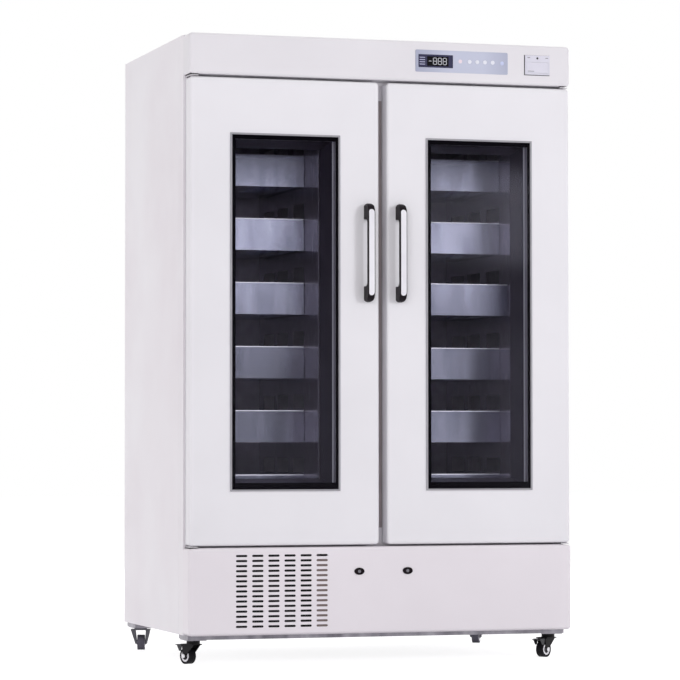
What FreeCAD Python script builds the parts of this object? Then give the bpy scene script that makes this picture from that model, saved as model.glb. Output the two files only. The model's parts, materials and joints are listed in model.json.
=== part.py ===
import FreeCAD, Part
import math
import os

import Sketcher
from FreeCAD import Rotation, Vector

os.makedirs("parts", exist_ok=True)
doc = FreeCAD.newDocument("cabinet")

# Every size that stands on its own, in millimetres.
# Depths count back from the face of the doors, heights of the box from its own bottom.
SIZES = {
    "cabinet_width": 1260,
    "cabinet_depth": 860,
    "box_height": 1866,
    "caster_height": 78,
    "rail_height": 14,
    "sheet": 1.2,
    "door_depth": 71,
    "lower_panel_height": 271,
    "fascia_height": 128.5,
    "lower_gap": 6,
    "upper_gap": 7.5,
    "side_margin": 3,
    "centre_gap": 26,
    "corner_round": 12,
    "edge_round": 9,
    # the insulated chamber
    "side_wall": 53,
    "rear_wall": 60,
    "mouth_inset": 50,
    "liner_sheet": 1,
    "flange_edge": 14,
    "mullion_half": 63,
    "mullion_depth": 60,
    "seam_depth": 125,
    # one door
    "skin_depth": 44,
    "skin_gap": 0.5,
    "liner_inset": 3,
    "gasket_height": 6,
    "gasket_inset": 4,
    "gasket_width": 25,
    "dyke_inset": 58,
    "dyke_depth": 96,
    "dyke_splay": 4,
    # its window
    "window_side": 129,
    "window_low": 168,
    "window_high": 172,
    "trim_face": 5.5,
    "trim_proud": 4,
    "opening_inset": 1.5,
    "glass_inset": 4,
    "pane": 4,
    "pane_gap": 20,
    "spacer_width": 10,
    "splay_front": 17,
    "splay_back": 37,
    # the hinges
    "hinge_side": 15,
    "hinge_depth": 22,
    "hinge_pin": 5,
    "pin_clearance": 0.05,
    "pin_reach": 22,
    "bracket_sheet": 3,
    "bracket_width": 26,
    "bracket_inset": 3,
    "bracket_gap": 2.5,
    # the handles
    "handle_reach": 50,
    "handle_low": 758.5,
    "handle_height": 311,
    "handle_width": 22,
    "handle_inset": 39.5,
    "bar_thickness": 15,
    "foot_height": 50,
    "handle_round": 38,
    "handle_heel": 11,
    "handle_hollow_round": 15,
    "strip_width": 18,
    "strip_height": 270,
    "strip_sheet": 2,
    "strip_proud": 0.6,
    # the locks
    "lock_from_centre": 79.5,
    "lock_height": 194,
    "lock_plug": 9,
    "lock_clearance": 0.06,
    "lock_plate_width": 32,
    "lock_plate_height": 21.5,
    "lock_depth": 24,
    "cam_sheet": 3,
    "cam_width": 14,
    "cam_reach": 91,
    "cam_pocket": 12,
    # the vent field
    "vent_share": 0.5252,
    "vent_low": 27.2,
    "vent_length": 36.5,
    "vent_height": 7,
    "vent_column_pitch": 52,
    "vent_row_pitch": 15.6,
    # the controls
    "recorder_side": 70,
    "recorder_width": 83.4,
    "recorder_height": 62,
    "recorder_low": 34,
    "recorder_proud": 4,
    "control_gap": 58.6,
    "control_width": 310,
    "control_height": 70,
    "control_low": 31,
    "control_sheet": 1.5,
    "display_left": 11.6,
    "display_low": 14.5,
    "display_width": 113.9,
    "display_height": 39.5,
    "first_key": 181,
    "key_pitch": 26,
    "key_height": 37,
    "key_round": 6.5,
    "key_clearance": 0.05,
    "key_flange": 8,
    "key_proud": 1.1,
    "lamp_left": 150,
    "lamp_right": 291,
    "board_depth": 9,
    "flap_width": 72,
    "flap_height": 34,
    "flap_sheet": 2.6,
    "flap_pin": 1,
    # racks and drawers
    "rack_shift": 13,
    "rack_allowance": 314,
    "rack_sheet": 1.5,
    "rack_front": 100,
    "rack_window_rise": 6,
    "rack_window_height": 46,
    "drawer_front_depth": 255,
    "drawer_ahead": 77,
    "drawer_back_room": 355,
    "drawer_height": 102,
    "drawer_side": 1.5,
    "tray_side": 12.5,
    "tray_height": 95,
    "row_drop": 163,
    "row_rise": 167.5,
    "slide_height": 16,
    "slide_low": 40,
    "slide_play": 0.6,
    "slide_gap": 0.8,
    "runner_depth": 11.7,
    # cooling
    "coil_half": 150,
    "coil_front": 200,
    "coil_back": 500,
    "coil_height": 199,
    "coil_fan": 80,
    "condenser_from_side": 300,
    "condenser_half": 150,
    "condenser_fan": 92,
    "compressor_round": 85,
    # base and casters
    "rail_inset": 9,
    "rail_front": 45,
    "rail_back": 5,
    "rail_depth": 112,
    "rail_sheet": 2,
    "caster_side": 41,
    "caster_plate": 3,
    "wheel_radius": 25,
    "wheel_half": 12,
    "wheel_gap": 0.8,
    "crown_gap": 10,
    "rear_neck": 5,
    "trail": 26,
    "axle": 3,
    "kingpin": 5,
    "kingpin_clearance": 0.06,
    "fork_sheet": 3,
    "pedal_pin": 2,
    "pedal_gap": 7,
    "pedal_reach": 78,
}
ROWS = 6
VENT_ROWS = 15
VENT_COLUMNS = 6
KEYS = 4

sheet = doc.addObject("Spreadsheet::Sheet", "Sizes")
for row, (word, value) in enumerate(SIZES.items(), 1):
    sheet.set(f"A{row}", word)
    sheet.set(f"B{row}", str(value))
    sheet.setAlias(f"B{row}", word)
doc.recompute()


class Size:
    """A length together with the sheet formula that gives it."""

    def __init__(self, value, formula):
        self.value = value
        self.formula = formula

    def __add__(self, other):
        other = as_size(other)
        return Size(self.value + other.value, f"({self.formula} + {other.formula})")

    def __radd__(self, other):
        return as_size(other) + self

    def __sub__(self, other):
        other = as_size(other)
        return Size(self.value - other.value, f"({self.formula} - {other.formula})")

    def __rsub__(self, other):
        return as_size(other) - self

    def __mul__(self, factor):
        return Size(self.value * factor, f"({self.formula} * {factor})")

    def __truediv__(self, factor):
        return Size(self.value / factor, f"({self.formula} / {factor})")

    def __neg__(self):
        return Size(-self.value, f"(0 - {self.formula})")


def as_size(amount):
    return amount if isinstance(amount, Size) else Size(amount, str(amount))


class Named:
    """The named sizes, as mm.door_depth and so on."""


mm = Named()
for word, value in SIZES.items():
    setattr(mm, word, Size(value, f"Sizes.{word}"))


def bind(thing, prop, amount):
    thing.setExpression(prop, as_size(amount).formula)


# Shapes.
def move(thing, x=0, y=0, z=0, turn=None):
    if turn:
        thing.Placement.Rotation = turn
    for letter, amount in (("x", x), ("y", y), ("z", z)):
        if isinstance(amount, Size):
            bind(thing, f"Placement.Base.{letter}", amount)
        elif amount:
            bind(thing, f"Placement.Base.{letter}", amount)
    return thing


def block(x, y, z):
    """A box between two depths, widths and heights."""
    box = doc.addObject("Part::Box", "Block")
    for prop, (low, high) in (("Length", x), ("Width", y), ("Height", z)):
        bind(box, prop, as_size(high) - low)
    return move(box, x[0], y[0], z[0])


TURNS = {
    "x": Rotation(Vector(0, 1, 0), 90),
    "y": Rotation(Vector(1, 0, 0), -90),
    "z": Rotation(),
}


def rod(axis, x, y, z, radius):
    """A round bar; the coordinate along its axis is a pair."""
    low = {"x": x, "y": y, "z": z}[axis]
    start = [value[0] if letter == axis else value for letter, value in zip("xyz", (x, y, z))]
    bar = doc.addObject("Part::Cylinder", "Rod")
    bind(bar, "Radius", radius)
    bind(bar, "Height", as_size(low[1]) - low[0])
    return move(bar, *start, turn=TURNS[axis])


def oval(x, y, z, width, height):
    """A plate with an oval outline, between two depths."""
    outline = doc.addObject("Part::Ellipse", "Outline")
    bind(outline, "MajorRadius", as_size(width) / 2)
    bind(outline, "MinorRadius", as_size(height) / 2)
    move(outline, x, y[0], z, turn=TURNS["y"])
    plate = doc.addObject("Part::Extrusion", "Plate")
    plate.Base = outline
    plate.DirMode = "Custom"
    plate.Dir = Vector(0, 1, 0)
    plate.Solid = True
    bind(plate, "LengthFwd", as_size(y[1]) - y[0])
    return plate


def splay(front, back, y):
    """A block whose outline changes from front to back; an outline is two pairs, x and z."""
    wedge = doc.addObject("Part::Wedge", "Splay")
    names = (("Xmin", "Xmax", "Zmin", "Zmax"), ("X2min", "X2max", "Z2min", "Z2max"))
    for props, (x, z) in zip(names, (front, back)):
        for prop, amount in zip(props, (*x, *z)):
            bind(wedge, prop, amount)
    bind(wedge, "Ymin", y[0])
    bind(wedge, "Ymax", y[1])
    return wedge


def leg(top, low, z):
    """A block that changes from top to bottom; an outline is two pairs, x and y."""
    wedge = splay(top, low, (-as_size(z[1]), -as_size(z[0])))
    wedge.Placement.Rotation = TURNS["y"]
    return wedge


def fuse(*things):
    whole = doc.addObject("Part::MultiFuse", "Whole")
    whole.Shapes = list(things)
    whole.Refine = True
    return whole


def group(*things):
    bundle = doc.addObject("Part::Compound", "Bundle")
    bundle.Links = list(things)
    return bundle


def cut(base, *tools):
    rest = doc.addObject("Part::Cut", "Rest")
    rest.Base = base
    rest.Tool = tools[0] if len(tools) == 1 else fuse(*tools)
    rest.Refine = True
    return rest


def common(base, tool):
    shared = doc.addObject("Part::Common", "Shared")
    shared.Base = base
    shared.Tool = tool
    return shared


def mirror(source):
    image = doc.addObject("Part::Mirroring", "Image")
    image.Source = source
    image.Normal = Vector(1, 0, 0)
    return image


def place(source, x, y, z, angle=0):
    copy = group(source)
    return move(copy, x, y, z, Rotation(Vector(0, 0, 1), angle))


def ring(x, y, z, width):
    """A rectangular frame, seen from the front."""
    inner_x = (x[0] + width, x[1] - width)
    inner_z = (z[0] + width, z[1] - width)
    return cut(block(x, y, z), block(inner_x, (y[0] - 1, y[1] + 1), inner_z))


# Sheet metal drawn as sketches.
def sketch(body):
    drawing = body.newObject("Sketcher::SketchObject", "Drawing")
    plane = [item for item in body.Origin.OriginFeatures if item.Role == "XZ_Plane"][0]
    drawing.AttachmentSupport = [(plane, "")]
    drawing.MapMode = "FlatFace"
    drawing.Visibility = False
    return drawing


def distance(drawing, kind, edge, end, amount):
    amount = as_size(amount)
    count = drawing.addConstraint(Sketcher.Constraint(kind, -1, 1, edge, end, amount.value))
    drawing.setExpression(f"Constraints[{count}]", amount.formula)


def rectangle(drawing, x, z):
    x = [as_size(value) for value in x]
    z = [as_size(value) for value in z]
    corners = [Vector(x[0].value, z[0].value, 0), Vector(x[1].value, z[0].value, 0),
               Vector(x[1].value, z[1].value, 0), Vector(x[0].value, z[1].value, 0)]
    first = drawing.GeometryCount
    for number in range(4):
        drawing.addGeometry(Part.LineSegment(corners[number], corners[(number + 1) % 4]), False)
    for number in range(4):
        following = first + (number + 1) % 4
        drawing.addConstraint(Sketcher.Constraint("Coincident", first + number, 2, following, 1))
    for number in (0, 2):
        drawing.addConstraint(Sketcher.Constraint("Horizontal", first + number))
        drawing.addConstraint(Sketcher.Constraint("Vertical", first + number + 1))
    for kind, end, pair in (("DistanceX", "x", x), ("DistanceY", "z", z)):
        for edge, amount in ((first, pair[0]), (first + 2, pair[1])):
            if amount.value:
                distance(drawing, kind, edge, 1, amount)
            else:
                axis = -2 if end == "x" else -1
                drawing.addConstraint(Sketcher.Constraint("PointOnObject", edge, 1, axis))


def circle(drawing, x, z, radius):
    x, z, radius = as_size(x), as_size(z), as_size(radius)
    round_ = Part.Circle(Vector(x.value, z.value, 0), Vector(0, 0, 1), radius.value)
    edge = drawing.addGeometry(round_, False)
    distance(drawing, "DistanceX", edge, 3, x)
    distance(drawing, "DistanceY", edge, 3, z)
    count = drawing.addConstraint(Sketcher.Constraint("Radius", edge, radius.value))
    drawing.setExpression(f"Constraints[{count}]", radius.formula)


def slot(drawing, x, z, length, height):
    """A slot with round ends, lying along x."""
    x, z, length, height = (as_size(value) for value in (x, z, length, height))
    half = (length.value - height.value) / 2
    radius = height.value / 2
    left, right = x.value - half, x.value + half
    low, high = z.value - radius, z.value + radius
    turn = math.pi / 2
    up = Vector(0, 0, 1)
    lines = [Part.LineSegment(Vector(left, high, 0), Vector(right, high, 0)),
             Part.ArcOfCircle(Part.Circle(Vector(right, z.value, 0), up, radius), -turn, turn),
             Part.LineSegment(Vector(right, low, 0), Vector(left, low, 0)),
             Part.ArcOfCircle(Part.Circle(Vector(left, z.value, 0), up, radius), turn, 3 * turn)]
    first = drawing.GeometryCount
    for line in lines:
        drawing.addGeometry(line, False)
    joins = ((0, 2, 1, 2), (1, 1, 2, 1), (2, 2, 3, 2), (3, 1, 0, 1))
    for one, end, other, start in joins:
        drawing.addConstraint(
            Sketcher.Constraint("Tangent", first + one, end, first + other, start))
    drawing.addConstraint(Sketcher.Constraint("Horizontal", first))
    distance(drawing, "DistanceX", first + 1, 3, x + (length - height) / 2)
    distance(drawing, "DistanceX", first + 3, 3, x - (length - height) / 2)
    distance(drawing, "DistanceY", first + 1, 3, z)
    count = drawing.addConstraint(Sketcher.Constraint("Radius", first + 1, radius))
    drawing.setExpression(f"Constraints[{count}]", (height / 2).formula)


def body_at(x, y, z):
    return move(doc.addObject("PartDesign::Body", "Body"), x, y, z)


def pad(body, drawing, depth):
    solid = body.newObject("PartDesign::Pad", "Pad")
    solid.Profile = drawing
    solid.Reversed = True
    bind(solid, "Length", depth)
    return solid


pockets = []


def pocket(body, before, drawing, depth):
    hollow = body.newObject("PartDesign::Pocket", "Pocket")
    hollow.Profile = drawing
    bind(hollow, "Length", depth)
    pockets.append((before, hollow))
    return hollow


def rounded(body, before, radius, wanted):
    doc.recompute()
    edges = [f"Edge{number}" for number, edge in enumerate(before.Shape.Edges, 1) if wanted(edge)]
    fillet = body.newObject("PartDesign::Fillet", "Fillet")
    fillet.Base = (before, edges)
    bind(fillet, "Radius", radius)
    return fillet


def runs_back(edge):
    return abs(edge.tangentAt(edge.FirstParameter).y) > 0.99


def runs_across(edge):
    return abs(edge.tangentAt(edge.FirstParameter).x) > 0.99


def at_front(edge):
    return edge.BoundBox.YMax < 0.001


def pan(x, z, depth):
    """A folded sheet pan, open at the back, with rounded corners and front edges."""
    body = body_at(x[0], door_front, z[0])
    outline = sketch(body)
    rectangle(outline, (0, x[1] - x[0]), (0, z[1] - z[0]))
    solid = pad(body, outline, depth)
    solid = rounded(body, solid, mm.corner_round, runs_back)
    solid = rounded(body, solid, mm.edge_round, at_front)
    doc.recompute()
    back = [f"Face{number}" for number, face in enumerate(solid.Shape.Faces, 1)
            if face.BoundBox.YMin > as_size(depth).value - 0.01]
    shell = body.newObject("PartDesign::Thickness", "Shell")
    shell.Base = (solid, back)
    shell.Reversed = True
    bind(shell, "Value", mm.sheet)
    return body, shell


nodes = {}


def node(name, thing):
    thing.Label = name
    nodes[name] = thing
    return thing


# Places that follow from the sizes. The middle of the object's own box is the origin.
door_front = mm.handle_reach - (mm.cabinet_depth + mm.handle_reach) / 2


def depth(amount):
    return door_front + amount


half = mm.cabinet_width / 2
box_low = mm.caster_height + mm.rail_height
box_high = box_low + mm.box_height
panel_high = box_low + mm.lower_panel_height
door_low = panel_high + mm.lower_gap
fascia_low = box_high - mm.fascia_height
door_high = fascia_low - mm.upper_gap
door_left = mm.centre_gap / 2
door_right = half - mm.side_margin
door_width = door_right - door_left
door_height = door_high - door_low
face = depth(mm.door_depth)
back = depth(mm.cabinet_depth)

# The chamber: foam, then liner, then air.
foam_half = half - mm.side_wall
foam_low = door_low + mm.mouth_inset
foam_high = door_high - mm.mouth_inset
foam_back = depth(mm.cabinet_depth - mm.rear_wall)
air_half = foam_half - mm.liner_sheet
air_low = foam_low + mm.liner_sheet
air_high = foam_high - mm.liner_sheet
air_back = foam_back - mm.liner_sheet
inside = face + mm.sheet
partition_low = panel_high + 1
partition_high = fascia_low + 3.5


# The cabinet shell.
def shell_parts():
    wall = mm.sheet
    skin_x = (-half + wall, half - wall)
    skin_y = (inside, back - wall)
    hollows = [
        block(skin_x, skin_y, (box_low + wall, partition_low)),
        block(skin_x, skin_y, (partition_low + wall, partition_high)),
        block(skin_x, skin_y, (partition_high + wall, box_high - wall)),
        block((-air_half, air_half), (face - 1, inside + 1), (air_low, air_high)),
        block((-half + 30, half - 30), (face - 1, inside + 1),
              (box_low + mm.flange_edge, panel_high - mm.flange_edge)),
        block((-half + 30, half - 30), (face - 1, inside + 1),
              (fascia_low + mm.flange_edge, box_high - mm.flange_edge)),
    ]
    seam = depth(mm.seam_depth)
    for x in ((-half - 1, -half + 0.5), (half - 0.5, half + 1)):
        hollows.append(block(x, (seam, seam + 1.5), (box_low - 1, box_high + 1)))
    for number in range(9):
        low = box_low + 40 + 20 * number
        for x in ((-430, -250), (-180, 0), (70, 250)):
            hollows.append(block(x, (back - 3, back + 1), (low, low + 7)))
    inlet = rod("y", half - 120, (back - 20, back - wall), box_low + 60, 18)
    shell = cut(block((-half, half), (face, back), (box_low, box_high)), *hollows)
    hole = rod("y", half - 120, (back - 21, back + 1), box_low + 60, 9)
    node("outer_shell", cut(fuse(shell, inlet), hole))
    foam = block(skin_x, skin_y, (partition_low + wall, partition_high))
    room = block((-foam_half, foam_half), (inside - 1, foam_back), (foam_low, foam_high))
    node("insulation", cut(foam, room))
    liner = block((-foam_half, foam_half), (inside, foam_back), (foam_low, foam_high))
    air = block((-air_half, air_half), (inside - 1, air_back), (air_low, air_high))
    node("inner_liner", cut(liner, air))
    half_post = mm.mullion_half
    post = block((-half_post, half_post), (face, depth(mm.door_depth + mm.mullion_depth)),
                 (air_low, air_high))
    groove = (depth(mm.door_depth + mm.mullion_depth - 3), depth(mm.door_depth + mm.mullion_depth + 1))
    node("mullion", cut(post, block((-half_post + 12, half_post - 12), groove,
                                    (air_low + 40, air_high - 40))))


# Hinge brackets: a plate, a pin into the door and a leg behind the panel.
hinge_x = half - mm.hinge_side
hinge_y = depth(mm.hinge_depth)


def hinge_parts():
    brackets = []
    x = (door_right - mm.bracket_inset - mm.bracket_width, door_right - mm.bracket_inset)
    y = (depth(5), face)
    leg_y = (face - mm.bracket_sheet, face)
    low = door_high + mm.bracket_gap
    top = fuse(block(x, y, (low, low + mm.bracket_sheet)),
               block(x, leg_y, (low, low + 40)),
               rod("z", hinge_x, hinge_y, (low - mm.pin_reach, low), mm.hinge_pin))
    high = door_low - 1.5
    bottom = fuse(block(x, y, (high - mm.bracket_sheet, high)),
                  block(x, leg_y, (high - 40, high)),
                  rod("z", hinge_x, hinge_y, (high, door_low), 9),
                  rod("z", hinge_x, hinge_y, (high, high + mm.pin_reach), mm.hinge_pin))
    for bracket in (top, bottom):
        brackets += [bracket, mirror(bracket)]
    node("hinge_brackets", group(*brackets))


def bracket_notches(z):
    x = (door_right - mm.bracket_inset - mm.bracket_width - 1, door_right - mm.bracket_inset + 1)
    notch = block(x, (depth(4), face + 1), z)
    return [notch, mirror(notch)]


# One door, drawn on the right; the left one is its image.
def window_span(inset):
    x = (door_left + mm.window_side + inset, door_right - mm.window_side - inset)
    z = (door_low + mm.window_low + inset, door_high - mm.window_high - inset)
    return x, z


def lock_room(y, z):
    """The slot that the lock's arm sweeps through, above the right lock."""
    reach = mm.cam_width / 2 + 1.5
    x = (mm.lock_from_centre - reach, mm.lock_from_centre + 52)
    return block(x, y, z)


arm_y = (depth(mm.lock_depth - 1.5), depth(mm.lock_depth + mm.cam_sheet + 1.5))


def door_skin():
    body, shell = pan((door_left, door_right), (door_low, door_high), mm.skin_depth)
    x, z = window_span(mm.opening_inset)
    window = sketch(body)
    rectangle(window, (x[0] - door_left, x[1] - door_left), (z[0] - door_low, z[1] - door_low))
    pocket(body, shell, window, mm.sheet * 3)
    hole = mm.hinge_pin + 1
    holes = [rod("z", hinge_x, hinge_y, (door_high - 3, door_high + 1), hole),
             rod("z", hinge_x, hinge_y, (door_low - 1, door_low + 3), hole),
             lock_room(arm_y, (door_low - 1, door_low + 3))]
    return cut(body, *holes)


def door_liner():
    side = mm.sheet + mm.skin_gap
    shy = mm.edge_round + mm.sheet

    def inset(x_in, z_in, y):
        return block((door_left + x_in, door_right - x_in), y, (door_low + z_in, door_high - z_in))

    core_y = (depth(mm.edge_round), depth(mm.skin_depth))
    back_y = (depth(mm.skin_depth), face - mm.gasket_height)
    dyke = mm.dyke_inset
    rim = (door_left + dyke, door_right - dyke), (door_low + dyke, door_high - dyke)
    crown = [(low + mm.dyke_splay, high - mm.dyke_splay) for low, high in rim]
    corner = mm.corner_round - 3.5
    solid = fuse(
        inset(shy, shy, (depth(mm.sheet), depth(mm.edge_round))),
        inset(side, side + corner, core_y), inset(side + corner, side, core_y),
        inset(mm.liner_inset, mm.liner_inset, back_y),
        splay(rim, crown, (face - mm.gasket_height, depth(mm.dyke_depth))))
    glass_back = depth(mm.pane * 2 + mm.pane_gap)
    x, z = window_span(mm.glass_inset - 3)
    hollows = [block(x, (door_front - 1, glass_back), z)]
    hollows.append(splay(window_span(mm.splay_front), window_span(mm.splay_back),
                         (glass_back - 1, depth(mm.dyke_depth) + 1)))
    bore = mm.hinge_pin + mm.pin_clearance
    hollows.append(rod("z", hinge_x, hinge_y, (door_high - 25, door_high + 1), bore))
    hollows.append(rod("z", hinge_x, hinge_y, (door_low - 1, door_low + 25), bore))
    hollows.append(lock_room(arm_y, (door_low - 1, door_low + mm.cam_pocket)))
    return cut(solid, *hollows)


def window_trim():
    x, z = window_span(0)
    face_ring = ring(x, (depth(-mm.trim_proud), door_front), z, mm.trim_face)
    x, z = window_span(mm.opening_inset + 0.2)
    sleeve = ring(x, (door_front, depth(mm.pane * 2 + mm.pane_gap)), z,
                  mm.glass_inset - mm.opening_inset - 0.2)
    x, z = window_span(mm.glass_inset)
    spacer = ring(x, (depth(mm.pane), depth(mm.pane + mm.pane_gap)), z, mm.spacer_width)
    return group(fuse(face_ring, sleeve), spacer)


def door_glass():
    x, z = window_span(mm.glass_inset)
    inner = mm.pane + mm.pane_gap
    return group(block(x, (door_front, depth(mm.pane)), z),
                 block(x, (depth(inner), depth(inner + mm.pane)), z))


def door_gasket():
    mid = face - mm.gasket_height / 2
    inset = mm.gasket_inset
    x = (door_left + inset, door_right - inset)
    z = (door_low + inset, door_high - inset)
    base = ring(x, (face - mm.gasket_height, mid), z, mm.gasket_width)
    lip_x = (x[0] + 3, hinge_x - 2)
    lip_z = (z[0] + 3, z[1] - 3)
    return fuse(base, ring(lip_x, (mid, face), lip_z, mm.gasket_width - 6))


handle_x = door_left + mm.handle_inset
handle_base = door_low + mm.handle_low


def bow(inset, width):
    """The handle's side outline, filled, set back by an inset."""
    reach = mm.handle_reach - inset
    body = body_at(handle_x - width / 2, depth(-reach), handle_base + inset)
    outline = sketch(body)
    rectangle(outline, (0, width), (0, mm.handle_height - inset * 2))
    solid = pad(body, outline, reach)
    solid = rounded(body, solid, mm.handle_round - inset,
                    lambda edge: at_front(edge) and runs_across(edge))
    rounded(body, solid, mm.handle_heel,
            lambda edge: edge.BoundBox.YMin > reach.value - 0.001 and runs_across(edge))
    return body


def upright_prism(y, width, height):
    """A prism along y with round ends, centred on the handle."""
    radius = width / 2
    low = handle_base + (mm.handle_height - height) / 2 + radius
    high = low + height - width
    middle = block((handle_x - radius, handle_x + radius), y, (low, high))
    return fuse(middle, rod("y", handle_x, y, low, radius), rod("y", handle_x, y, high, radius))


def handle_parts():
    outer = bow(as_size(0), mm.handle_width)
    under = bow(mm.strip_sheet, mm.handle_width)
    proud = bow(mm.strip_proud, mm.handle_width)
    y = (depth(-mm.handle_reach - 1), depth(-8))
    foot = mm.foot_height
    hollow_y = (depth(-mm.handle_reach + mm.bar_thickness), depth(1))
    low, high = handle_base + foot, handle_base + mm.handle_height - foot
    bend = mm.handle_hollow_round
    x = (handle_x - mm.handle_width, handle_x + mm.handle_width)
    bend_y = hollow_y[0] + bend
    hollow = fuse(block(x, (bend_y, hollow_y[1]), (low, high)),
                  block(x, hollow_y, (low + bend, high - bend)),
                  rod("x", x, bend_y, low + bend, bend), rod("x", x, bend_y, high - bend, bend))
    whole = upright_prism((y[0], depth(1)), mm.handle_width, mm.handle_height)
    strip_room = upright_prism(y, mm.strip_width, mm.strip_height)
    bar = common(cut(proud, hollow, cut(strip_room, under)), whole)
    strip = common(cut(outer, under), upright_prism(y, mm.strip_width, mm.strip_height))
    return bar, strip


def doors():
    handle, strip = handle_parts()
    pieces = {"door_skin": door_skin(), "door_liner": door_liner(), "window_trim": window_trim(),
              "glass": door_glass(), "gasket": door_gasket(), "handle": handle,
              "handle_strip": strip}
    for name, thing in pieces.items():
        node(f"right_{name}", thing)
        node(f"left_{name}", mirror(thing))


# The panel below the doors, with its vents and its two locks.
def lower_panel():
    body, shell = pan((-half, half), (box_low, panel_high), mm.door_depth)
    span = mm.vent_column_pitch * (VENT_COLUMNS - 1)
    first = half - half * SIZES["vent_share"] - span / 2
    vent = sketch(body)
    slot(vent, first, mm.vent_low, mm.vent_length, mm.vent_height)
    before = pocket(body, shell, vent, mm.sheet * 3)
    grid = body.newObject("PartDesign::MultiTransform", "Grid")
    grid.Originals = [before]
    steps = []
    for axis, pitch, count in (("V_Axis", mm.vent_row_pitch, VENT_ROWS),
                               ("H_Axis", mm.vent_column_pitch, VENT_COLUMNS)):
        step = body.newObject("PartDesign::LinearPattern", "Step")
        step.Direction = (vent, [axis])
        bind(step, "Length", pitch * (count - 1))
        step.Occurrences = count
        steps.append(step)
    grid.Transformations = steps
    body.Tip = grid
    z = box_low + mm.lock_height
    x = mm.lock_from_centre
    plate = oval(x, (depth(-3), depth(mm.sheet)), z, mm.lock_plate_width, mm.lock_plate_height)
    ring_right = fuse(plate, rod("y", x, (depth(0), depth(mm.lock_depth - 2)), z,
                                 mm.lock_plug + 1.7))
    bore = rod("y", x, (depth(-4), depth(mm.lock_depth)), z, mm.lock_plug + mm.lock_clearance)
    sweep = lock_room(arm_y, (panel_high - 3, panel_high + 1))
    tools = [bore, mirror(bore), sweep, mirror(sweep)]
    tools += bracket_notches((panel_high - 3, panel_high + 1))
    node("lower_panel", cut(fuse(body, ring_right, mirror(ring_right)), *tools))
    slit = block((x - 0.8, x + 0.8), (depth(-3), depth(1)), (z - 4.5, z + 4.5))
    plug = rod("y", x, (depth(-2.5), depth(mm.lock_depth)), z, mm.lock_plug)
    arm = block((x - 7, x + mm.cam_reach), (depth(mm.lock_depth), depth(mm.lock_depth + mm.cam_sheet)),
                (z - mm.cam_width / 2, z + mm.cam_width / 2))
    lock = cut(fuse(plug, arm), slit)
    node("right_lock", lock)
    node("left_lock", mirror(lock))


# The panel above the doors and its controls.
recorder_x = (half - mm.recorder_side - mm.recorder_width, half - mm.recorder_side)
recorder_z = (fascia_low + mm.recorder_low, fascia_low + mm.recorder_low + mm.recorder_height)
control_right = recorder_x[0] - mm.control_gap
control_x = (control_right - mm.control_width, control_right)
control_z = (fascia_low + mm.control_low, fascia_low + mm.control_low + mm.control_height)


def top_fascia():
    body, shell = pan((-half, half), (fascia_low, box_high), mm.door_depth)
    holes = sketch(body)
    for x, z, inset in ((control_x, control_z, 6), (recorder_x, recorder_z, 3)):
        rectangle(holes, (x[0] + half + inset, x[1] + half - inset),
                  (z[0] - fascia_low + inset, z[1] - fascia_low - inset))
    pocket(body, shell, holes, mm.sheet * 3)
    node("top_fascia", cut(body, *bracket_notches((fascia_low - 1, fascia_low + 3))))


def control_parts():
    body = body_at(control_x[0], depth(-mm.control_sheet), control_z[0])
    outline = sketch(body)
    rectangle(outline, (0, mm.control_width), (0, mm.control_height))
    solid = pad(body, outline, mm.control_sheet)
    solid = rounded(body, solid, 4, runs_back)
    holes = sketch(body)
    x = mm.display_left
    z = mm.display_low
    rectangle(holes, (x, x + mm.display_width), (z, z + mm.display_height))
    for x in (mm.lamp_left, mm.lamp_right):
        circle(holes, x, mm.key_height, 2.6)
    for number in range(KEYS):
        circle(holes, mm.first_key + mm.key_pitch * number, mm.key_height,
               mm.key_round + mm.key_clearance)
    pocket(body, solid, holes, mm.control_sheet * 2)
    node("control_panel", body)

    left, low = control_x[0], control_z[0]
    key_z = low + mm.key_height
    board = depth(mm.board_depth)
    pieces = [block((left + 12, control_x[1] - 8), (board, board + 1.6), (low + 9, control_z[1] - 9))]
    x = left + mm.display_left
    z = low + mm.display_low
    pieces.append(block((x + 0.3, x + mm.display_width - 0.3), (depth(-0.7), board),
                        (z + 0.3, z + mm.display_height - 0.3)))
    for x in (mm.lamp_left, mm.lamp_right):
        pieces.append(rod("y", left + x, (depth(-2), board), key_z, 2.5))
    for x in (20, 160, 296):
        for z in (low + 14, control_z[1] - 14):
            pieces.append(rod("y", left + x, (door_front, board), z, 2))
    key = fuse(rod("y", 0, (depth(-mm.control_sheet - mm.key_proud), door_front), 0, mm.key_round),
               rod("y", 0, (door_front, depth(1.4)), 0, mm.key_flange))
    for number in range(KEYS):
        x = left + mm.first_key + mm.key_pitch * number
        pieces.append(block((x - 4, x + 4), (depth(2.6), board), (key_z - 4, key_z + 4)))
        node(f"key_{number + 1}", place(key, x, 0, key_z))
    node("display_window", fuse(*pieces))


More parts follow.
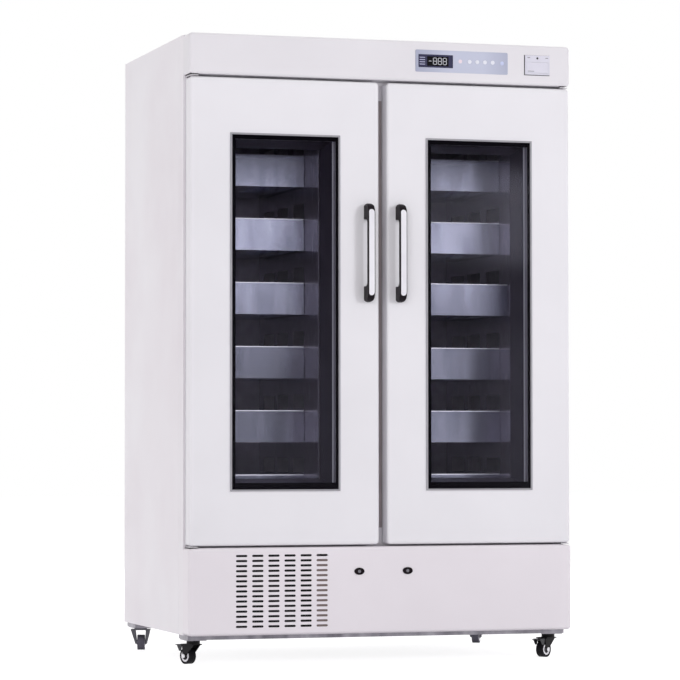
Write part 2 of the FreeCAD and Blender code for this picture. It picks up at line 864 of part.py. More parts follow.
def recorder_parts():
    x, z = recorder_x, recorder_z
    bezel = block(x, (depth(-mm.recorder_proud), door_front), z)
    inner_x = (x[0] + 3.5, x[1] - 3.5)
    inner_z = (z[0] + 3.5, z[1] - 3.5)
    case = block(inner_x, (door_front, depth(45)), inner_z)
    middle = (x[0] + x[1]) / 2
    half_flap = mm.flap_width / 2
    axis_y = depth(-mm.recorder_proud + mm.flap_sheet / 2)
    axis_z = z[0] + 7
    flap_high = axis_z + mm.flap_height - mm.flap_sheet / 2
    recess = block((middle - half_flap - 0.4, middle + half_flap + 0.4),
                   (depth(-mm.recorder_proud - 1), depth(-1)),
                   (axis_z - mm.flap_sheet / 2 - 0.4, flap_high + 0.4))
    bay = block((middle - 30, middle + 30), (depth(-1.5), depth(12)), (axis_z + 3, flap_high - 3))
    pins = (middle - half_flap - 2.4, middle + half_flap + 2.4)
    bore = rod("x", pins, axis_y, axis_z, mm.flap_pin + mm.pin_clearance)
    dot = rod("y", middle, (depth(-mm.recorder_proud - 1), depth(-mm.recorder_proud + 1)),
              z[1] - 9, 1.6)
    node("recorder_body", cut(fuse(bezel, case), recess, bay, bore, dot))
    flap_x = (middle - half_flap, middle + half_flap)
    flap_y = (depth(-mm.recorder_proud), depth(-mm.recorder_proud + mm.flap_sheet))
    pin = (middle - half_flap - 2, middle + half_flap + 2)
    notch = block((middle - half_flap + 6, middle - half_flap + 16),
                  (flap_y[0] - 1, flap_y[0] + 0.6), (axis_z + 4, axis_z + 6))
    flap = fuse(block(flap_x, flap_y, (axis_z, flap_high)),
                rod("x", flap_x, axis_y, axis_z, mm.flap_sheet / 2),
                rod("x", pin, axis_y, axis_z, mm.flap_pin))
    node("recorder_flap", cut(flap, notch))


# Racks and drawers.
space = door_width - mm.rack_allowance
rack_centre = (door_left + door_right) / 2 + mm.rack_shift
rack_half = space / 2
tray_length = mm.cabinet_depth - mm.drawer_back_room
tray_half = rack_half - mm.tray_side
row_pitch = (foam_high - foam_low - mm.row_drop - mm.row_rise) / (ROWS - 1)


def row_low(row):
    return foam_high - mm.row_drop - row_pitch * row - mm.drawer_height


def rack_parts():
    panel_y = (depth(mm.rack_front), foam_back - 10)
    panel = block((0, mm.rack_sheet), panel_y, (air_low, air_high))
    windows = []
    for row in range(ROWS + 1):
        low = row_low(row) + mm.drawer_height + mm.rack_window_rise
        for front in (mm.drawer_front_depth + 3, mm.drawer_front_depth + 190,
                      mm.drawer_front_depth + 350):
            y = (depth(front), depth(front + 127))
            windows.append(block((-1, mm.rack_sheet + 1), y, (low, low + mm.rack_window_height)))
    panel = cut(panel, group(*windows[:-3]))
    web = mm.liner_sheet * 1.2
    low, high = mm.slide_low, mm.slide_low + mm.slide_height + mm.slide_play
    reach = mm.runner_depth
    y = (3, tray_length + 18)
    runner = fuse(block((0, web), y, (low - web, high + web)),
                  block((0, reach), y, (low - web, low)),
                  block((0, reach), y, (high, high + web)))
    left_runner = runner
    right_runner = mirror(runner)
    pieces = []
    for centre in (-rack_centre, rack_centre):
        pieces.append(place(panel, centre - rack_half - mm.rack_sheet, 0, 0))
        pieces.append(place(panel, centre + rack_half, 0, 0))
        for row in range(ROWS):
            start = depth(mm.drawer_front_depth)
            pieces.append(place(left_runner, centre - rack_half, start, row_low(row)))
            pieces.append(place(right_runner, centre + rack_half, start, row_low(row)))
    node("drawer_racks", group(*pieces))


def drawer_parts():
    thin = mm.sheet
    front_half = rack_half - mm.drawer_side
    high = mm.drawer_height
    plate = 1.5
    tray_y = (plate, tray_length + plate)
    tray_z = (2, as_size(2) + mm.tray_height)
    hollow = block((-tray_half + thin, tray_half - thin), (plate + thin, tray_length + plate - thin),
                   (as_size(2) + thin, high + 1))
    tray = cut(block((-tray_half, tray_half), tray_y, tray_z), hollow)
    bar_x = rack_half - mm.liner_sheet * 1.2 - mm.slide_gap
    bar = block((tray_half, bar_x), (10, tray_length - 15),
                (mm.slide_low, mm.slide_low + mm.slide_height))
    drawer = fuse(tray, bar, mirror(bar),
                  block((-front_half, front_half), (0, plate), (0, high)),
                  block((-front_half, front_half), (0, 8), (high - 1.5, high)),
                  block((-front_half, front_half), (0, 6), (0, 1.5)))
    for side, centre in (("left", -rack_centre), ("right", rack_centre)):
        for row in range(ROWS):
            start = mm.drawer_front_depth
            if side == "right" and row == 2:
                start = start - mm.drawer_ahead
            node(f"{side}_drawer_{row + 1}", place(drawer, centre, depth(start), row_low(row)))


# Cooling, behind the lower panel and under the chamber's roof.
def fan_wheel(radius, blades, hub, y):
    """A fan whose axle lies along y, round the origin."""
    pieces = [rod("y", 0, y, 0, hub)]
    for number in range(blades):
        blade = doc.addObject("Part::Box", "Blade")
        bind(blade, "Length", as_size(hub) * 1.3)
        bind(blade, "Width", 2)
        bind(blade, "Height", as_size(radius) - hub + 4)
        twist = Rotation(Vector(0, 1, 0), 360 * number / blades).multiply(
            Rotation(Vector(0, 0, 1), 28))
        offset = twist.multVec(Vector(-hub * 0.65, -1, hub - 4))
        blade.Placement.Base = offset + Vector(0, (y[0] + y[1]) / 2, 0)
        blade.Placement.Rotation = twist
        pieces.append(blade)
    return fuse(*pieces)


def cooling():
    x = (-mm.coil_half, mm.coil_half)
    y = (depth(mm.coil_front), depth(mm.coil_back))
    z = (air_high - mm.coil_height, air_high)
    thin = mm.sheet
    case = cut(block(x, y, z),
               block((x[0] + thin, x[1] - thin), (y[0] + thin, y[1] + 1), (z[0] + thin, z[1] - thin)),
               rod("y", 0, (y[0] - 1, y[0] + 2), z[0] + 99, mm.coil_fan + 4))
    middle = z[0] + 99
    coil = block((x[0] + 6, x[1] - 6), (y[0] + 110, y[1] - 20), (z[0] + thin, z[1] - thin))
    grooves = [block((x[0] + 5, x[1] - 5), (y[0] + 109, y[0] + 114),
                     (z[0] + 12 + 16 * number, z[0] + 20 + 16 * number)) for number in range(11)]
    motor = rod("y", 0, (y[0] + 45, y[0] + 110), middle, 28)
    spokes = [block((-96, 96), (y[0] - 2, y[0]), (middle - 2, middle + 2)),
              block((-2, 2), (y[0] - 2, y[0]), (middle - 96, middle + 96))]
    shaft = rod("y", 0, (y[0] + 38, y[0] + 45), middle, 4)
    node("evaporator", fuse(case, cut(coil, group(*grooves)), motor, shaft, *spokes))
    wheel = fan_wheel(SIZES["coil_fan"], 5, 20, (-14, 8))
    bore = rod("y", 0, (0, 30), 0, 4.05)
    node("evaporator_fan", move(group(cut(wheel, bore)), 0, y[0] + 30, middle))

    centre = -half + mm.condenser_from_side
    wide = (centre - mm.condenser_half, centre + mm.condenser_half)
    low, high = box_low + thin, box_low + 240
    fins = [block((wide[0] + 8 + 9.5 * number, wide[0] + 12.5 + 9.5 * number),
                  (depth(89), depth(96)), (low + 8, high - 8)) for number in range(30)]
    coil = cut(block(wide, (depth(90), depth(150)), (low, high)), group(*fins))
    middle = box_low + 130
    shroud = cut(block((centre - 105, centre + 105), (depth(150), depth(200)),
                       (middle - 105, middle + 105)),
                 rod("y", centre, (depth(149), depth(201)), middle, mm.condenser_fan + 6))
    feet = block((centre - 12, centre + 12), (depth(200), depth(206)), (low, high - 20))
    motor = rod("y", centre, (depth(206), depth(245)), middle, 32)
    shaft = rod("y", centre, (depth(190), depth(206)), middle, 4)
    node("condenser", fuse(coil, shroud, feet, motor, shaft))
    wheel = fan_wheel(SIZES["condenser_fan"], 5, 24, (-12, 12))
    bore = rod("y", 0, (0, 30), 0, 4.05)
    node("condenser_fan", move(group(cut(wheel, bore)), centre, depth(178), middle))

    x, y = half - 415, depth(475)
    radius = mm.compressor_round
    can = [rod("z", x, y, (low + 24, low + 190), radius),
           rod("z", x, y, (low + 190, low + 205), radius - 12),
           rod("z", x, y, (low + 16, low + 24), radius - 10),
           block((x - 115, x + 115), (y - 75, y + 75), (low + 12, low + 16)),
           block((x + radius - 8, x + radius + 22), (y - 30, y + 30), (low + 80, low + 150))]
    for side_x in (-95, 95):
        for side_y in (-55, 55):
            can.append(rod("z", x + side_x, y + side_y, (low, low + 12), 12))
    pipe = rod("z", x, y - 40, (low + 200, low + 232), 4)
    across = rod("x", (centre + 108, x + 4), y - 40, low + 232, 4)
    down = rod("y", centre + 112, (depth(150), y - 36), low + 232, 4)
    node("compressor", fuse(*can, pipe, across, down))


# The rails and the casters.
caster_x = half - mm.caster_side
caster_y = (depth(mm.rail_front) + mm.rail_depth / 2,
            depth(mm.cabinet_depth - mm.rail_back) - mm.rail_depth / 2)
wheel_top = mm.wheel_radius * 2


def rail_parts():
    rails = []
    thin = mm.rail_sheet
    x = (-half + mm.rail_inset, half - mm.rail_inset)
    low, high = mm.caster_height, box_low
    plate_low = low - mm.caster_plate
    hole = mm.kingpin + mm.kingpin_clearance
    for middle in caster_y:
        y = (middle - mm.rail_depth / 2, middle + mm.rail_depth / 2)
        channel = cut(block(x, y, (low, high)),
                      block((x[0] + thin, x[1] - thin), (y[0] + thin, y[1] - thin),
                            (low + thin, high + 1)))
        plates, holes = [], []
        for centre in (-caster_x, caster_x):
            plates.append(block((centre - 31, centre + 31), (middle - 45, middle + 45),
                                (plate_low, low)))
            holes.append(rod("z", centre, middle, (plate_low - 1, low + thin + 1), hole))
        rails.append(cut(fuse(channel, *plates), *holes))
    node("base_rails", group(*rails))


def fork(crown, top_side, top_x, plate_half):
    """A caster fork; the wheel trails along x."""
    inner = mm.wheel_half + mm.wheel_gap
    outer = inner + mm.fork_sheet
    swivel = mm.caster_height - mm.caster_plate
    x = mm.trail
    axle_z = mm.wheel_radius
    pieces = [rod("z", 0, 0, (crown, swivel), 21),
              rod("z", 0, 0, (swivel, swivel + 8), mm.kingpin),
              rod("z", 0, 0, (swivel + 5.3, swivel + 8), mm.kingpin + 3),
              block(top_x, (-as_size(plate_half), as_size(plate_half)),
                    (crown - mm.fork_sheet, crown)),
              rod("y", x, (-outer - 2, outer + 2), axle_z, mm.axle),
              rod("y", x, (-outer - 2.5, -outer), axle_z, 5.5),
              rod("y", x, (outer, outer + 2.5), axle_z, 5.5)]
    low_x = (x - 8, x + 8)
    for side in (1, -1):
        top = (top_side - mm.fork_sheet, top_side)
        low = (inner, outer)
        if side < 0:
            top, low = (-top[1], -top[0]), (-outer, -inner)
        toe = (low[0] + 0.3, low[1] - 0.3)
        pieces.append(leg((top_x, top), (low_x, toe), (axle_z + 1, crown - 2)))
        pieces.append(rod("y", x, low, axle_z, 8))
    return pieces


def fork_rims(crown, top_side, top_x):
    """Folded edges down the legs of a fork, wider at the top."""
    inner = mm.wheel_half + mm.wheel_gap + 0.5
    x = mm.trail
    pieces = []
    for top, toe in (((top_x[0], top_x[0] + 2), (x - 9, x - 7)),
                     ((top_x[1] - 2, top_x[1]), (x + 7, x + 9))):
        for high, low in (((top_side - 14, top_side), (inner, inner + 6)),
                          ((-top_side, as_size(14) - top_side), (-inner - 6, -inner))):
            pieces.append(leg((top, high), (toe, low), (mm.wheel_radius - 4, crown - 1)))
    return pieces


def caster_parts():
    pin = mm.pedal_pin
    plate_low = wheel_top + mm.pedal_gap
    pivot = (mm.trail + 8, plate_low - 2)
    wide = mm.wheel_half
    outer = wide + mm.wheel_gap + mm.fork_sheet
    wing = wide + 2.7
    hung = rod("y", pivot[0], (-outer, outer), pivot[1], pin)
    crown = wheel_top + mm.crown_gap + mm.fork_sheet
    front = fuse(*fork(crown, outer, (-18, pivot[0] + 3), 21), hung)
    splayed = wide + 20
    crown = mm.caster_height - mm.caster_plate - mm.rear_neck
    rear = fuse(*fork(crown, splayed, (-18, 24), splayed),
                *fork_rims(crown, splayed, (-18, 24)))
    bore = rod("y", 0, (-wide - 8, wide + 8), 0, mm.axle + mm.pin_clearance)
    dishes = [rod("y", 0, y, 0, mm.wheel_radius - 8)
              for y in ((wide - 2, wide + 2), (-wide - 2, 2 - wide))]
    hubs = [rod("y", 0, (0.4 - wide, wide - 0.4), 0, 8)]
    tyre = cut(rod("y", 0, (-mm.wheel_half, mm.wheel_half), 0, mm.wheel_radius), *dishes)
    wheel = cut(fuse(tyre, *hubs), bore)
    near = mm.trail + 14
    plate_z = (plate_low, plate_low + 2.5)
    cheek = (near, near + 24), (near + 4, near + 12)
    cheek_z = (plate_low - 17, plate_low + 1)
    lever = fuse(block((near, mm.pedal_reach), (-8.5, 8.5), plate_z),
                 block((near, near + 24), (-wing, wing), plate_z),
                 block((pivot[0], near + 6), (-wide, wide), (plate_low - 3, plate_low + 1)),
                 rod("y", pivot[0], (-wide, wide), pivot[1], 4),
                 *[leg((cheek[0], y), (cheek[1], y), cheek_z)
                   for y in ((wide + 0.4, wing), (-wing, -wide - 0.4))])
    lever_bore = rod("y", pivot[0], (-wide - 8, wide + 8), pivot[1], pin + 0.06)
    pedal = cut(lever, lever_bore)
    casters = (("front_left", -caster_x, caster_y[0], 114.7, front),
               ("front_right", caster_x, caster_y[0], 214.7, front),
               ("rear_left", -caster_x, caster_y[1], 72.7, rear),
               ("rear_right", caster_x, caster_y[1], 62, rear))
    for name, x, y, angle, kind in casters:
        node(f"{name}_fork", place(kind, x, y, 0, angle))
        turn = math.radians(angle)
        reach_x = mm.trail * math.cos(turn)
        reach_y = mm.trail * math.sin(turn)
        node(f"{name}_wheel", place(wheel, x + reach_x, y + reach_y, mm.wheel_radius, angle))
        if kind is front:
            node(f"{name}_brake", place(pedal, x, y, 0, angle))


shell_parts()
hinge_parts()
doors()
lower_panel()
top_fascia()
control_parts()
recorder_parts()
rack_parts()
drawer_parts()
cooling()
rail_parts()
caster_parts()
doc.recompute()

# Every object is sound and every pocket takes material away before anything is written.
for thing in doc.Objects:
    if "Invalid" in thing.State or "Error" in thing.State:
        raise RuntimeError(f"{thing.Label} is not sound")
for before, after in pockets:
    if after.Shape.Volume >= before.Shape.Volume:
        raise RuntimeError(f"{after.Label} takes nothing away")
for name, thing in nodes.items():
    if thing.Shape.isNull() or not thing.Shape.isValid():
        raise RuntimeError(f"{name} has no sound shape")
for name, thing in nodes.items():
    thing.Shape.exportStep(f"parts/{name}.step")
print(len(nodes), "pieces written")
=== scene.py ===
import json
import math

import bmesh
import bpy
from mathutils import Matrix, Vector


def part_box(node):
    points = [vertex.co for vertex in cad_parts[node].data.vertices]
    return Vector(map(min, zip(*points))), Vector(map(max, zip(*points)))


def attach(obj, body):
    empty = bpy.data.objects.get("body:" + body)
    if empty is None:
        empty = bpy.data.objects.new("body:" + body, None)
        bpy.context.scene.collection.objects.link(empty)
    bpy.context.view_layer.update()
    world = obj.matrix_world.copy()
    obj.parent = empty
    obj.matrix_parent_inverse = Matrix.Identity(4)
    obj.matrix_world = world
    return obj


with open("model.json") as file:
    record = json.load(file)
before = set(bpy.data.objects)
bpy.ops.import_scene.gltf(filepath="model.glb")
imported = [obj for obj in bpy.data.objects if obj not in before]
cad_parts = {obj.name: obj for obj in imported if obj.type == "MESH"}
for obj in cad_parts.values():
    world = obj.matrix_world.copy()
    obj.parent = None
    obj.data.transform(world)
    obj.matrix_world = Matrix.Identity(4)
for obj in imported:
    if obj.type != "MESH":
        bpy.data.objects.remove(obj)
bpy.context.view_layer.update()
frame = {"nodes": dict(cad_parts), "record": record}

nodes = frame["nodes"]

MM = 0.001
SIDES = ("left", "right")
ROWS = 6
KEYS = 4
DOOR_FRONT = -0.405
KEYPAD_FACE = -0.40652

# Camera: where the photographer stood, low and to the left, with a long lens.
CAMERA_PLACE = (-3.0082, -9.6817, 0.6823)
CAMERA_TURN = (91.926, 0.041, -17.167)
CAMERA_LENS = 164.38


def stand_camera():
    lens = bpy.data.cameras.new("camera")
    lens.sensor_width = 36
    lens.lens = CAMERA_LENS
    lens.clip_end = 60
    camera = bpy.data.objects.new("camera", lens)
    bpy.context.scene.collection.objects.link(camera)
    camera.location = CAMERA_PLACE
    camera.rotation_euler = [math.radians(angle) for angle in CAMERA_TURN]
    bpy.context.scene.camera = camera


stand_camera()


# Node helpers.
def colour(code):
    """A hex colour as it looks on screen, turned to the linear values that shaders use."""
    parts = [int(code[start:start + 2], 16) / 255 for start in (1, 3, 5)]
    return [part / 12.92 if part <= 0.04045 else ((part + 0.055) / 1.055) ** 2.4
            for part in parts] + [1]


def add(tree, kind, settings, sockets):
    """One node with its settings and its sockets, each a value or a link."""
    item = tree.nodes.new(kind)
    for name, value in settings.items():
        setattr(item, name, value)
    for name, value in sockets.items():
        if isinstance(value, bpy.types.NodeSocket):
            tree.links.new(value, item.inputs[name])
        else:
            item.inputs[name].default_value = value
    return item


def blank(name):
    """A new material with nothing in it but the object's own coordinates."""
    material = bpy.data.materials.new(name)
    material.use_nodes = True
    tree = material.node_tree
    tree.nodes.clear()
    place = add(tree, "ShaderNodeTexCoord", {}, {}).outputs["Object"]
    return material, tree, place


def surface(tree, shader):
    """Ends a material with its shader."""
    add(tree, "ShaderNodeOutputMaterial", {}, {"Surface": shader.outputs[0]})


def principled(tree, sockets):
    """Ends a material with the general shader."""
    surface(tree, add(tree, "ShaderNodeBsdfPrincipled", {}, sockets))


def noise(tree, place, scale, detail=2.0, stretch=(1, 1, 1)):
    """Smooth noise with about so many blobs per metre, fewer along a stretched axis."""
    lay = add(tree, "ShaderNodeMapping", {}, {"Vector": place, "Scale": stretch})
    grain = add(tree, "ShaderNodeTexNoise", {},
                {"Vector": lay.outputs[0], "Scale": scale, "Detail": detail})
    return grain.outputs["Fac"]


def between(tree, factor, low, high, start=0.3, end=0.7):
    """A value that goes from low to high as the factor goes from start to end."""
    ramp = add(tree, "ShaderNodeMapRange", {},
               {"Value": factor, "From Min": start, "From Max": end,
                "To Min": low, "To Max": high})
    return ramp.outputs[0]


def blend(tree, factor, one, other):
    """A colour between two hex colours."""
    mix = add(tree, "ShaderNodeMix", {"data_type": "RGBA"},
              {0: between(tree, factor, 0, 1), 6: colour(one), 7: colour(other)})
    return mix.outputs[2]


def bump(tree, height, strength, distance):
    """Small hills in a surface, of a height in metres."""
    return add(tree, "ShaderNodeBump", {},
               {"Height": height, "Strength": strength, "Distance": distance}).outputs[0]


# How each kind of finish is made. Noise scales are in blobs per metre.
def enamel(name, base, shade):
    # Polyester powder coat on steel sheet: nearly white, satin, with a faint orange peel.
    # The peel is really about 2 mm across, drawn at 3 mm so that it shows up close.
    material, tree, place = blank(name)
    cloud = noise(tree, place, 2.6, 3)
    peel = noise(tree, place, 330, 2)
    principled(tree, {
        "Base Color": blend(tree, cloud, base, shade),
        "Roughness": between(tree, noise(tree, place, 9, 3), 0.34, 0.42),
        "IOR": 1.5,
        "Normal": bump(tree, peel, 0.12, 0.0006),
    })
    return material


def brushed(name, base, shade, rough, along, bands=0.0, metal=1.0, spread=0.0):
    # Brushed or rolled metal sheet: hair lines follow the rolling direction, about 0.6 mm
    # apart, drawn 2 mm apart so that they show. Wide sheets also have soft upright bands of
    # haze. A lower metal share makes it dull and pale, and spread draws its highlights out
    # across the hair lines.
    material, tree, place = blank(name)
    stretch = {"x": (0.02, 1, 1), "z": (1, 1, 0.02)}[along]
    streak = noise(tree, place, 500, 3, stretch)
    haze = noise(tree, place, bands, 2, (1, 1, 0.25)) if bands else noise(tree, place, 30, 2)
    sockets = {
        "Base Color": blend(tree, haze, base, shade),
        "Metallic": metal,
        "Roughness": between(tree, streak, rough - 0.01, rough + 0.015),
        "Normal": bump(tree, streak, 0.01, 0.0001),
    }
    if spread:
        grain = add(tree, "ShaderNodeTangent", {"direction_type": "RADIAL", "axis": "Z"}, {})
        sockets |= {"Anisotropic": spread, "Tangent": grain.outputs[0]}
    principled(tree, sockets)
    return material


def moulded(name, base, shade, rough, grain=600, depth=0.15, gloss=0.5):
    # Injection moulded plastic: even colour with a fine spark-eroded grain.
    # A low gloss level is for dark parts, which would otherwise mirror the white room.
    material, tree, place = blank(name)
    fine = noise(tree, place, grain, 2)
    principled(tree, {
        "Base Color": blend(tree, noise(tree, place, 12, 2), base, shade),
        "Roughness": between(tree, fine, rough - 0.04, rough + 0.05),
        "IOR": 1.46, "Specular IOR Level": gloss,
        "Normal": bump(tree, fine, depth, 0.0003),
    })
    return material


def stoved(name, base, shade):
    # Black stoving enamel on pressed steel or iron: slightly lumpy, with dust on it.
    material, tree, place = blank(name)
    dust = noise(tree, place, 45, 4)
    principled(tree, {
        "Base Color": blend(tree, dust, base, shade),
        "Roughness": between(tree, dust, 0.36, 0.5), "Specular IOR Level": 0.16,
        "Normal": bump(tree, dust, 0.2, 0.0008),
    })
    return material


def rubber(name, base, shade):
    # Soft rubber: dull, with a slight bloom in places.
    material, tree, place = blank(name)
    bloom = noise(tree, place, 60, 4)
    principled(tree, {
        "Base Color": blend(tree, bloom, base, shade),
        "Roughness": between(tree, bloom, 0.56, 0.7),
        "IOR": 1.52, "Specular IOR Level": 0.12,
        "Normal": bump(tree, noise(tree, place, 900, 2), 0.2, 0.0003),
    })
    return material


def coated_glass(name):
    # Float glass with an anti-reflection coat: clear, a little dark, with a weak mirror
    # image that grows at low angles.
    material, tree, _ = blank(name)
    clear = add(tree, "ShaderNodeBsdfTransparent", {}, {"Color": colour("#f8f8fa")})
    mirror = add(tree, "ShaderNodeBsdfPrincipled", {}, {
        "Base Color": colour("#c9c8d6"), "Metallic": 1.0, "Roughness": 0.03})
    fresnel = add(tree, "ShaderNodeFresnel", {}, {"IOR": 1.5})
    share = add(tree, "ShaderNodeMath", {"operation": "MULTIPLY"},
                {0: fresnel.outputs[0], 1: 0.3})
    surface(tree, add(tree, "ShaderNodeMixShader", {},
                      {0: share.outputs[0], 1: clear.outputs[0], 2: mirror.outputs[0]}))
    return material


def film(name, base, shade):
    # Printed polyester film with a fine velvet face, printed darker towards both ends.
    # The ends are those of the keypad, along X.
    material, tree, place = blank(name)
    across = add(tree, "ShaderNodeSeparateXYZ", {}, {"Vector": place}).outputs["X"]
    ends = add(tree, "ShaderNodeMath", {"operation": "ABSOLUTE"},
               {0: between(tree, across, -1, 1, 0.10, 0.46)}).outputs[0]
    principled(tree, {
        "Base Color": blend(tree, between(tree, ends, 0.3, 0.7, 0.3, 1.0), base, shade),
        "Roughness": 0.33,
        "Normal": bump(tree, noise(tree, place, 1100, 1), 0.15, 0.0002),
    })
    return material


def plain(name, base, rough, metal=0.0, gloss=0.5):
    # A small part in one finish, with a slight unevenness in its gloss.
    material, tree, place = blank(name)
    wear = noise(tree, place, 160, 3)
    principled(tree, {
        "Base Color": colour(base), "Metallic": metal, "Specular IOR Level": gloss,
        "Roughness": between(tree, wear, rough - 0.04, rough + 0.05),
    })
    return material


def print_under_glass(name, base):
    # Fired ceramic print inside the pane: dead black, because the glass carries the gloss.
    material, tree, place = blank(name)
    principled(tree, {
        "Base Color": colour(base), "Specular IOR Level": 0.0,
        "Roughness": between(tree, noise(tree, place, 200, 2), 0.5, 0.6),
    })
    return material


def glowing(name, base, light, strength):
    # A lit segment behind smoked acrylic: pale grey, with a weak glow.
    material, tree, _ = blank(name)
    principled(tree, {"Base Color": colour(base), "Roughness": 0.3,
                      "Emission Color": colour(light), "Emission Strength": strength})
    return material


def foam(name, base, shade, cells):
    # Foam with small open or closed cells, of which so many fit in a metre.
    material, tree, place = blank(name)
    cell = add(tree, "ShaderNodeTexVoronoi", {}, {"Vector": place, "Scale": cells})
    depth = cell.outputs["Distance"]
    principled(tree, {"Base Color": blend(tree, depth, base, shade), "Roughness": 0.9,
                      "Normal": bump(tree, depth, 0.4, 0.0006)})
    return material


# Painted sheet: one white powder coat, drawn in four tones a shade apart as painted light and
# shade, for how the light falls on the doors, the shell, the fascia and the lower panel. The
# shell is the pinkest and the doors the brightest.
door_white = enamel("white_powder_coat", "#e8e7ec", "#e3e2e7")
shell_white = enamel("shell_powder_coat", "#e9e7ec", "#e2dde3")
fascia_white = enamel("fascia_powder_coat", "#e3e1e6", "#dedce1")
panel_white = enamel("panel_powder_coat", "#e7e2e8", "#e2dde3")

# Metal. Galvanised rails are grey and blotchy. The racks and the liner are stainless sheet with
# an upright grain that stays dim; the liner is drawn paler and duller than bare steel, partly as
# painted light for the dim inside of the cabinet. The drawers' fronts are cold rolled stainless
# with a level grain, so they draw what they mirror into upright bands, and their polished lips
# are bright lines.
# The rear forks are dark zinc, the hinges light zinc, and the coils bare aluminium.
rail_grey = brushed("galvanised_rail", "#a3a0a8", "#77747c", 0.38, "x", bands=22)
rack_steel = brushed("rack_stainless", "#aca3b0", "#9d94a2", 0.26, "z", metal=0.75)
drawer_steel = brushed("drawer_stainless", "#e2e4f4", "#bfc1d2", 0.2, "x", bands=16, spread=0.98)
lip_steel = brushed("polished_lip_steel", "#fcfcfe", "#f4f4f8", 0.3, "x", spread=0.9)
# The liner's pale, dull finish is partly painted light for the dim inside of the cabinet.
liner_steel = brushed("liner_stainless_and_painted_light", "#cbc4d0", "#bbb4c0", 0.30, "z", metal=0.35)
dark_zinc = brushed("zinc_plate", "#5e5d64", "#4a4950", 0.34, "x", metal=0.6)
hinge_zinc = brushed("hinge_zinc", "#c9c6cb", "#b9b6bb", 0.35, "x", metal=0.7)
aluminium = brushed("mill_aluminium", "#c9cacf", "#babbc0", 0.3, "z")
spacer_aluminium = plain("spacer_aluminium", "#8f8c99", 0.45, metal=0.4)
# The axle caps are nearly white: bright zinc with a painted glint.
cap_zinc_and_glint = plain("bright_axle_cap", "#ececf0", 0.25, metal=0.3)
inlet_brass = plain("inlet_brass", "#c9a45a", 0.25, metal=1.0)
plug_nickel = plain("lock_nickel", "#8b8990", 0.3, metal=1.0)

# Plastic. The handles' bows and lock plates are deep black with little shine, and the strip on
# each bow is a bright satin silver. Window trims are a darker silver, and the lining behind each
# window is a dark grey that is painted shade, for the shadow inside the window opening. Post,
# door liner, keys and recorder are pale and matt.
bow_black = moulded("black_handle_plastic", "#110a10", "#170f15", 0.42, 500, 0.04, gloss=0.12)
strip_silver = moulded("silver_handle_strip", "#ecebf1", "#e4e3ea", 0.22, 500, 0.04)
trim_silver = moulded("silver_trim_plastic", "#a3a2a8", "#98979e", 0.28, 500, 0.05)
# Its dark grey is painted shade for the shadow inside each window opening.
reveal_painted_shade = moulded("painted_shade_reveal_plastic", "#393340", "#443d49", 0.35, 300, 0.02, gloss=0.2)
post_grey = moulded("grey_post_plastic", "#b0a6a7", "#a3999b", 0.5)
liner_white = moulded("door_liner_plastic", "#dedee2", "#d6d6db", 0.42)
pedal_grey = moulded("pedal_plastic", "#2c2d31", "#232428", 0.4)
rim_white = moulded("wheel_rim_plastic", "#f1f0f4", "#e6e5ea", 0.35)
key_white = moulded("key_plastic", "#e6e7f1", "#dddfeb", 0.35)
recorder_lilac = moulded("recorder_plastic", "#dbdae6", "#d3d2df", 0.3)
fan_black = moulded("fan_plastic", "#141416", "#1c1c1f", 0.5)

# Rubber and black enamel: the seal is pale, and drawn paler still as painted light that lifts
# the shade in the seams round the doors. The front tyres are black and the rear ones grey.
seal_rubber_and_painted_light = rubber("seal_rubber", "#e6e2e7", "#dcd8dd")
tyre_black = rubber("tyre_rubber", "#0d0c10", "#17161a")
tyre_grey = rubber("grey_tyre_rubber", "#6d6b76", "#5f5d68")
# Black rubber for the recorder's button; the same black draws the recorder's seam, a painted
# shadow.
black_button_and_shadow = plain("black_rubber_and_painted_shadow", "#1b191d", 0.45)
fork_black = stoved("black_fork_enamel", "#070608", "#100f12")
compressor_black = stoved("compressor_enamel", "#0e0e10", "#232326")
stay_brown = plain("filter_stay_paint", "#766968", 0.6, gloss=0.2)

# Keypad and display: lilac film with darker ends, a navy bezel, a nearly black screen with pale
# segments, a pink and a blue lens, and small grey print.
panel_film = film("keypad_film", "#bfc3d6", "#a1a5bb")
key_outline = plain("key_outline_print", "#b3b6cb", 0.4)
display_navy = plain("display_bezel_print", "#36364e", 0.35, gloss=0.15)
display_black = plain("smoked_acrylic", "#08070c", 0.2, gloss=0.15)
segment_light = glowing("display_digit", "#6a6b71", "#c5c5cb", 0.6)
mark_light = plain("display_mark_print", "#a9abc6", 0.4)
mark_grey = plain("recorder_mark_print", "#85858d", 0.4)
pink_lens = plain("pink_lamp_lens", "#eadae4", 0.25)
blue_lens = plain("blue_lamp_lens", "#c3c9ea", 0.25)

# Glass with its black print, and the two foams: cream between shell and liner, and black with
# open cells in the dust filter.
window_glass = coated_glass("coated_float_glass")
frit_black = print_under_glass("ceramic_print", "#0d0b10")
insulation_foam = foam("injected_foam", "#e9dcae", "#d8c78e", 400)
filter_foam = foam("dust_filter_foam", "#060507", "#0b0a0d", 350)

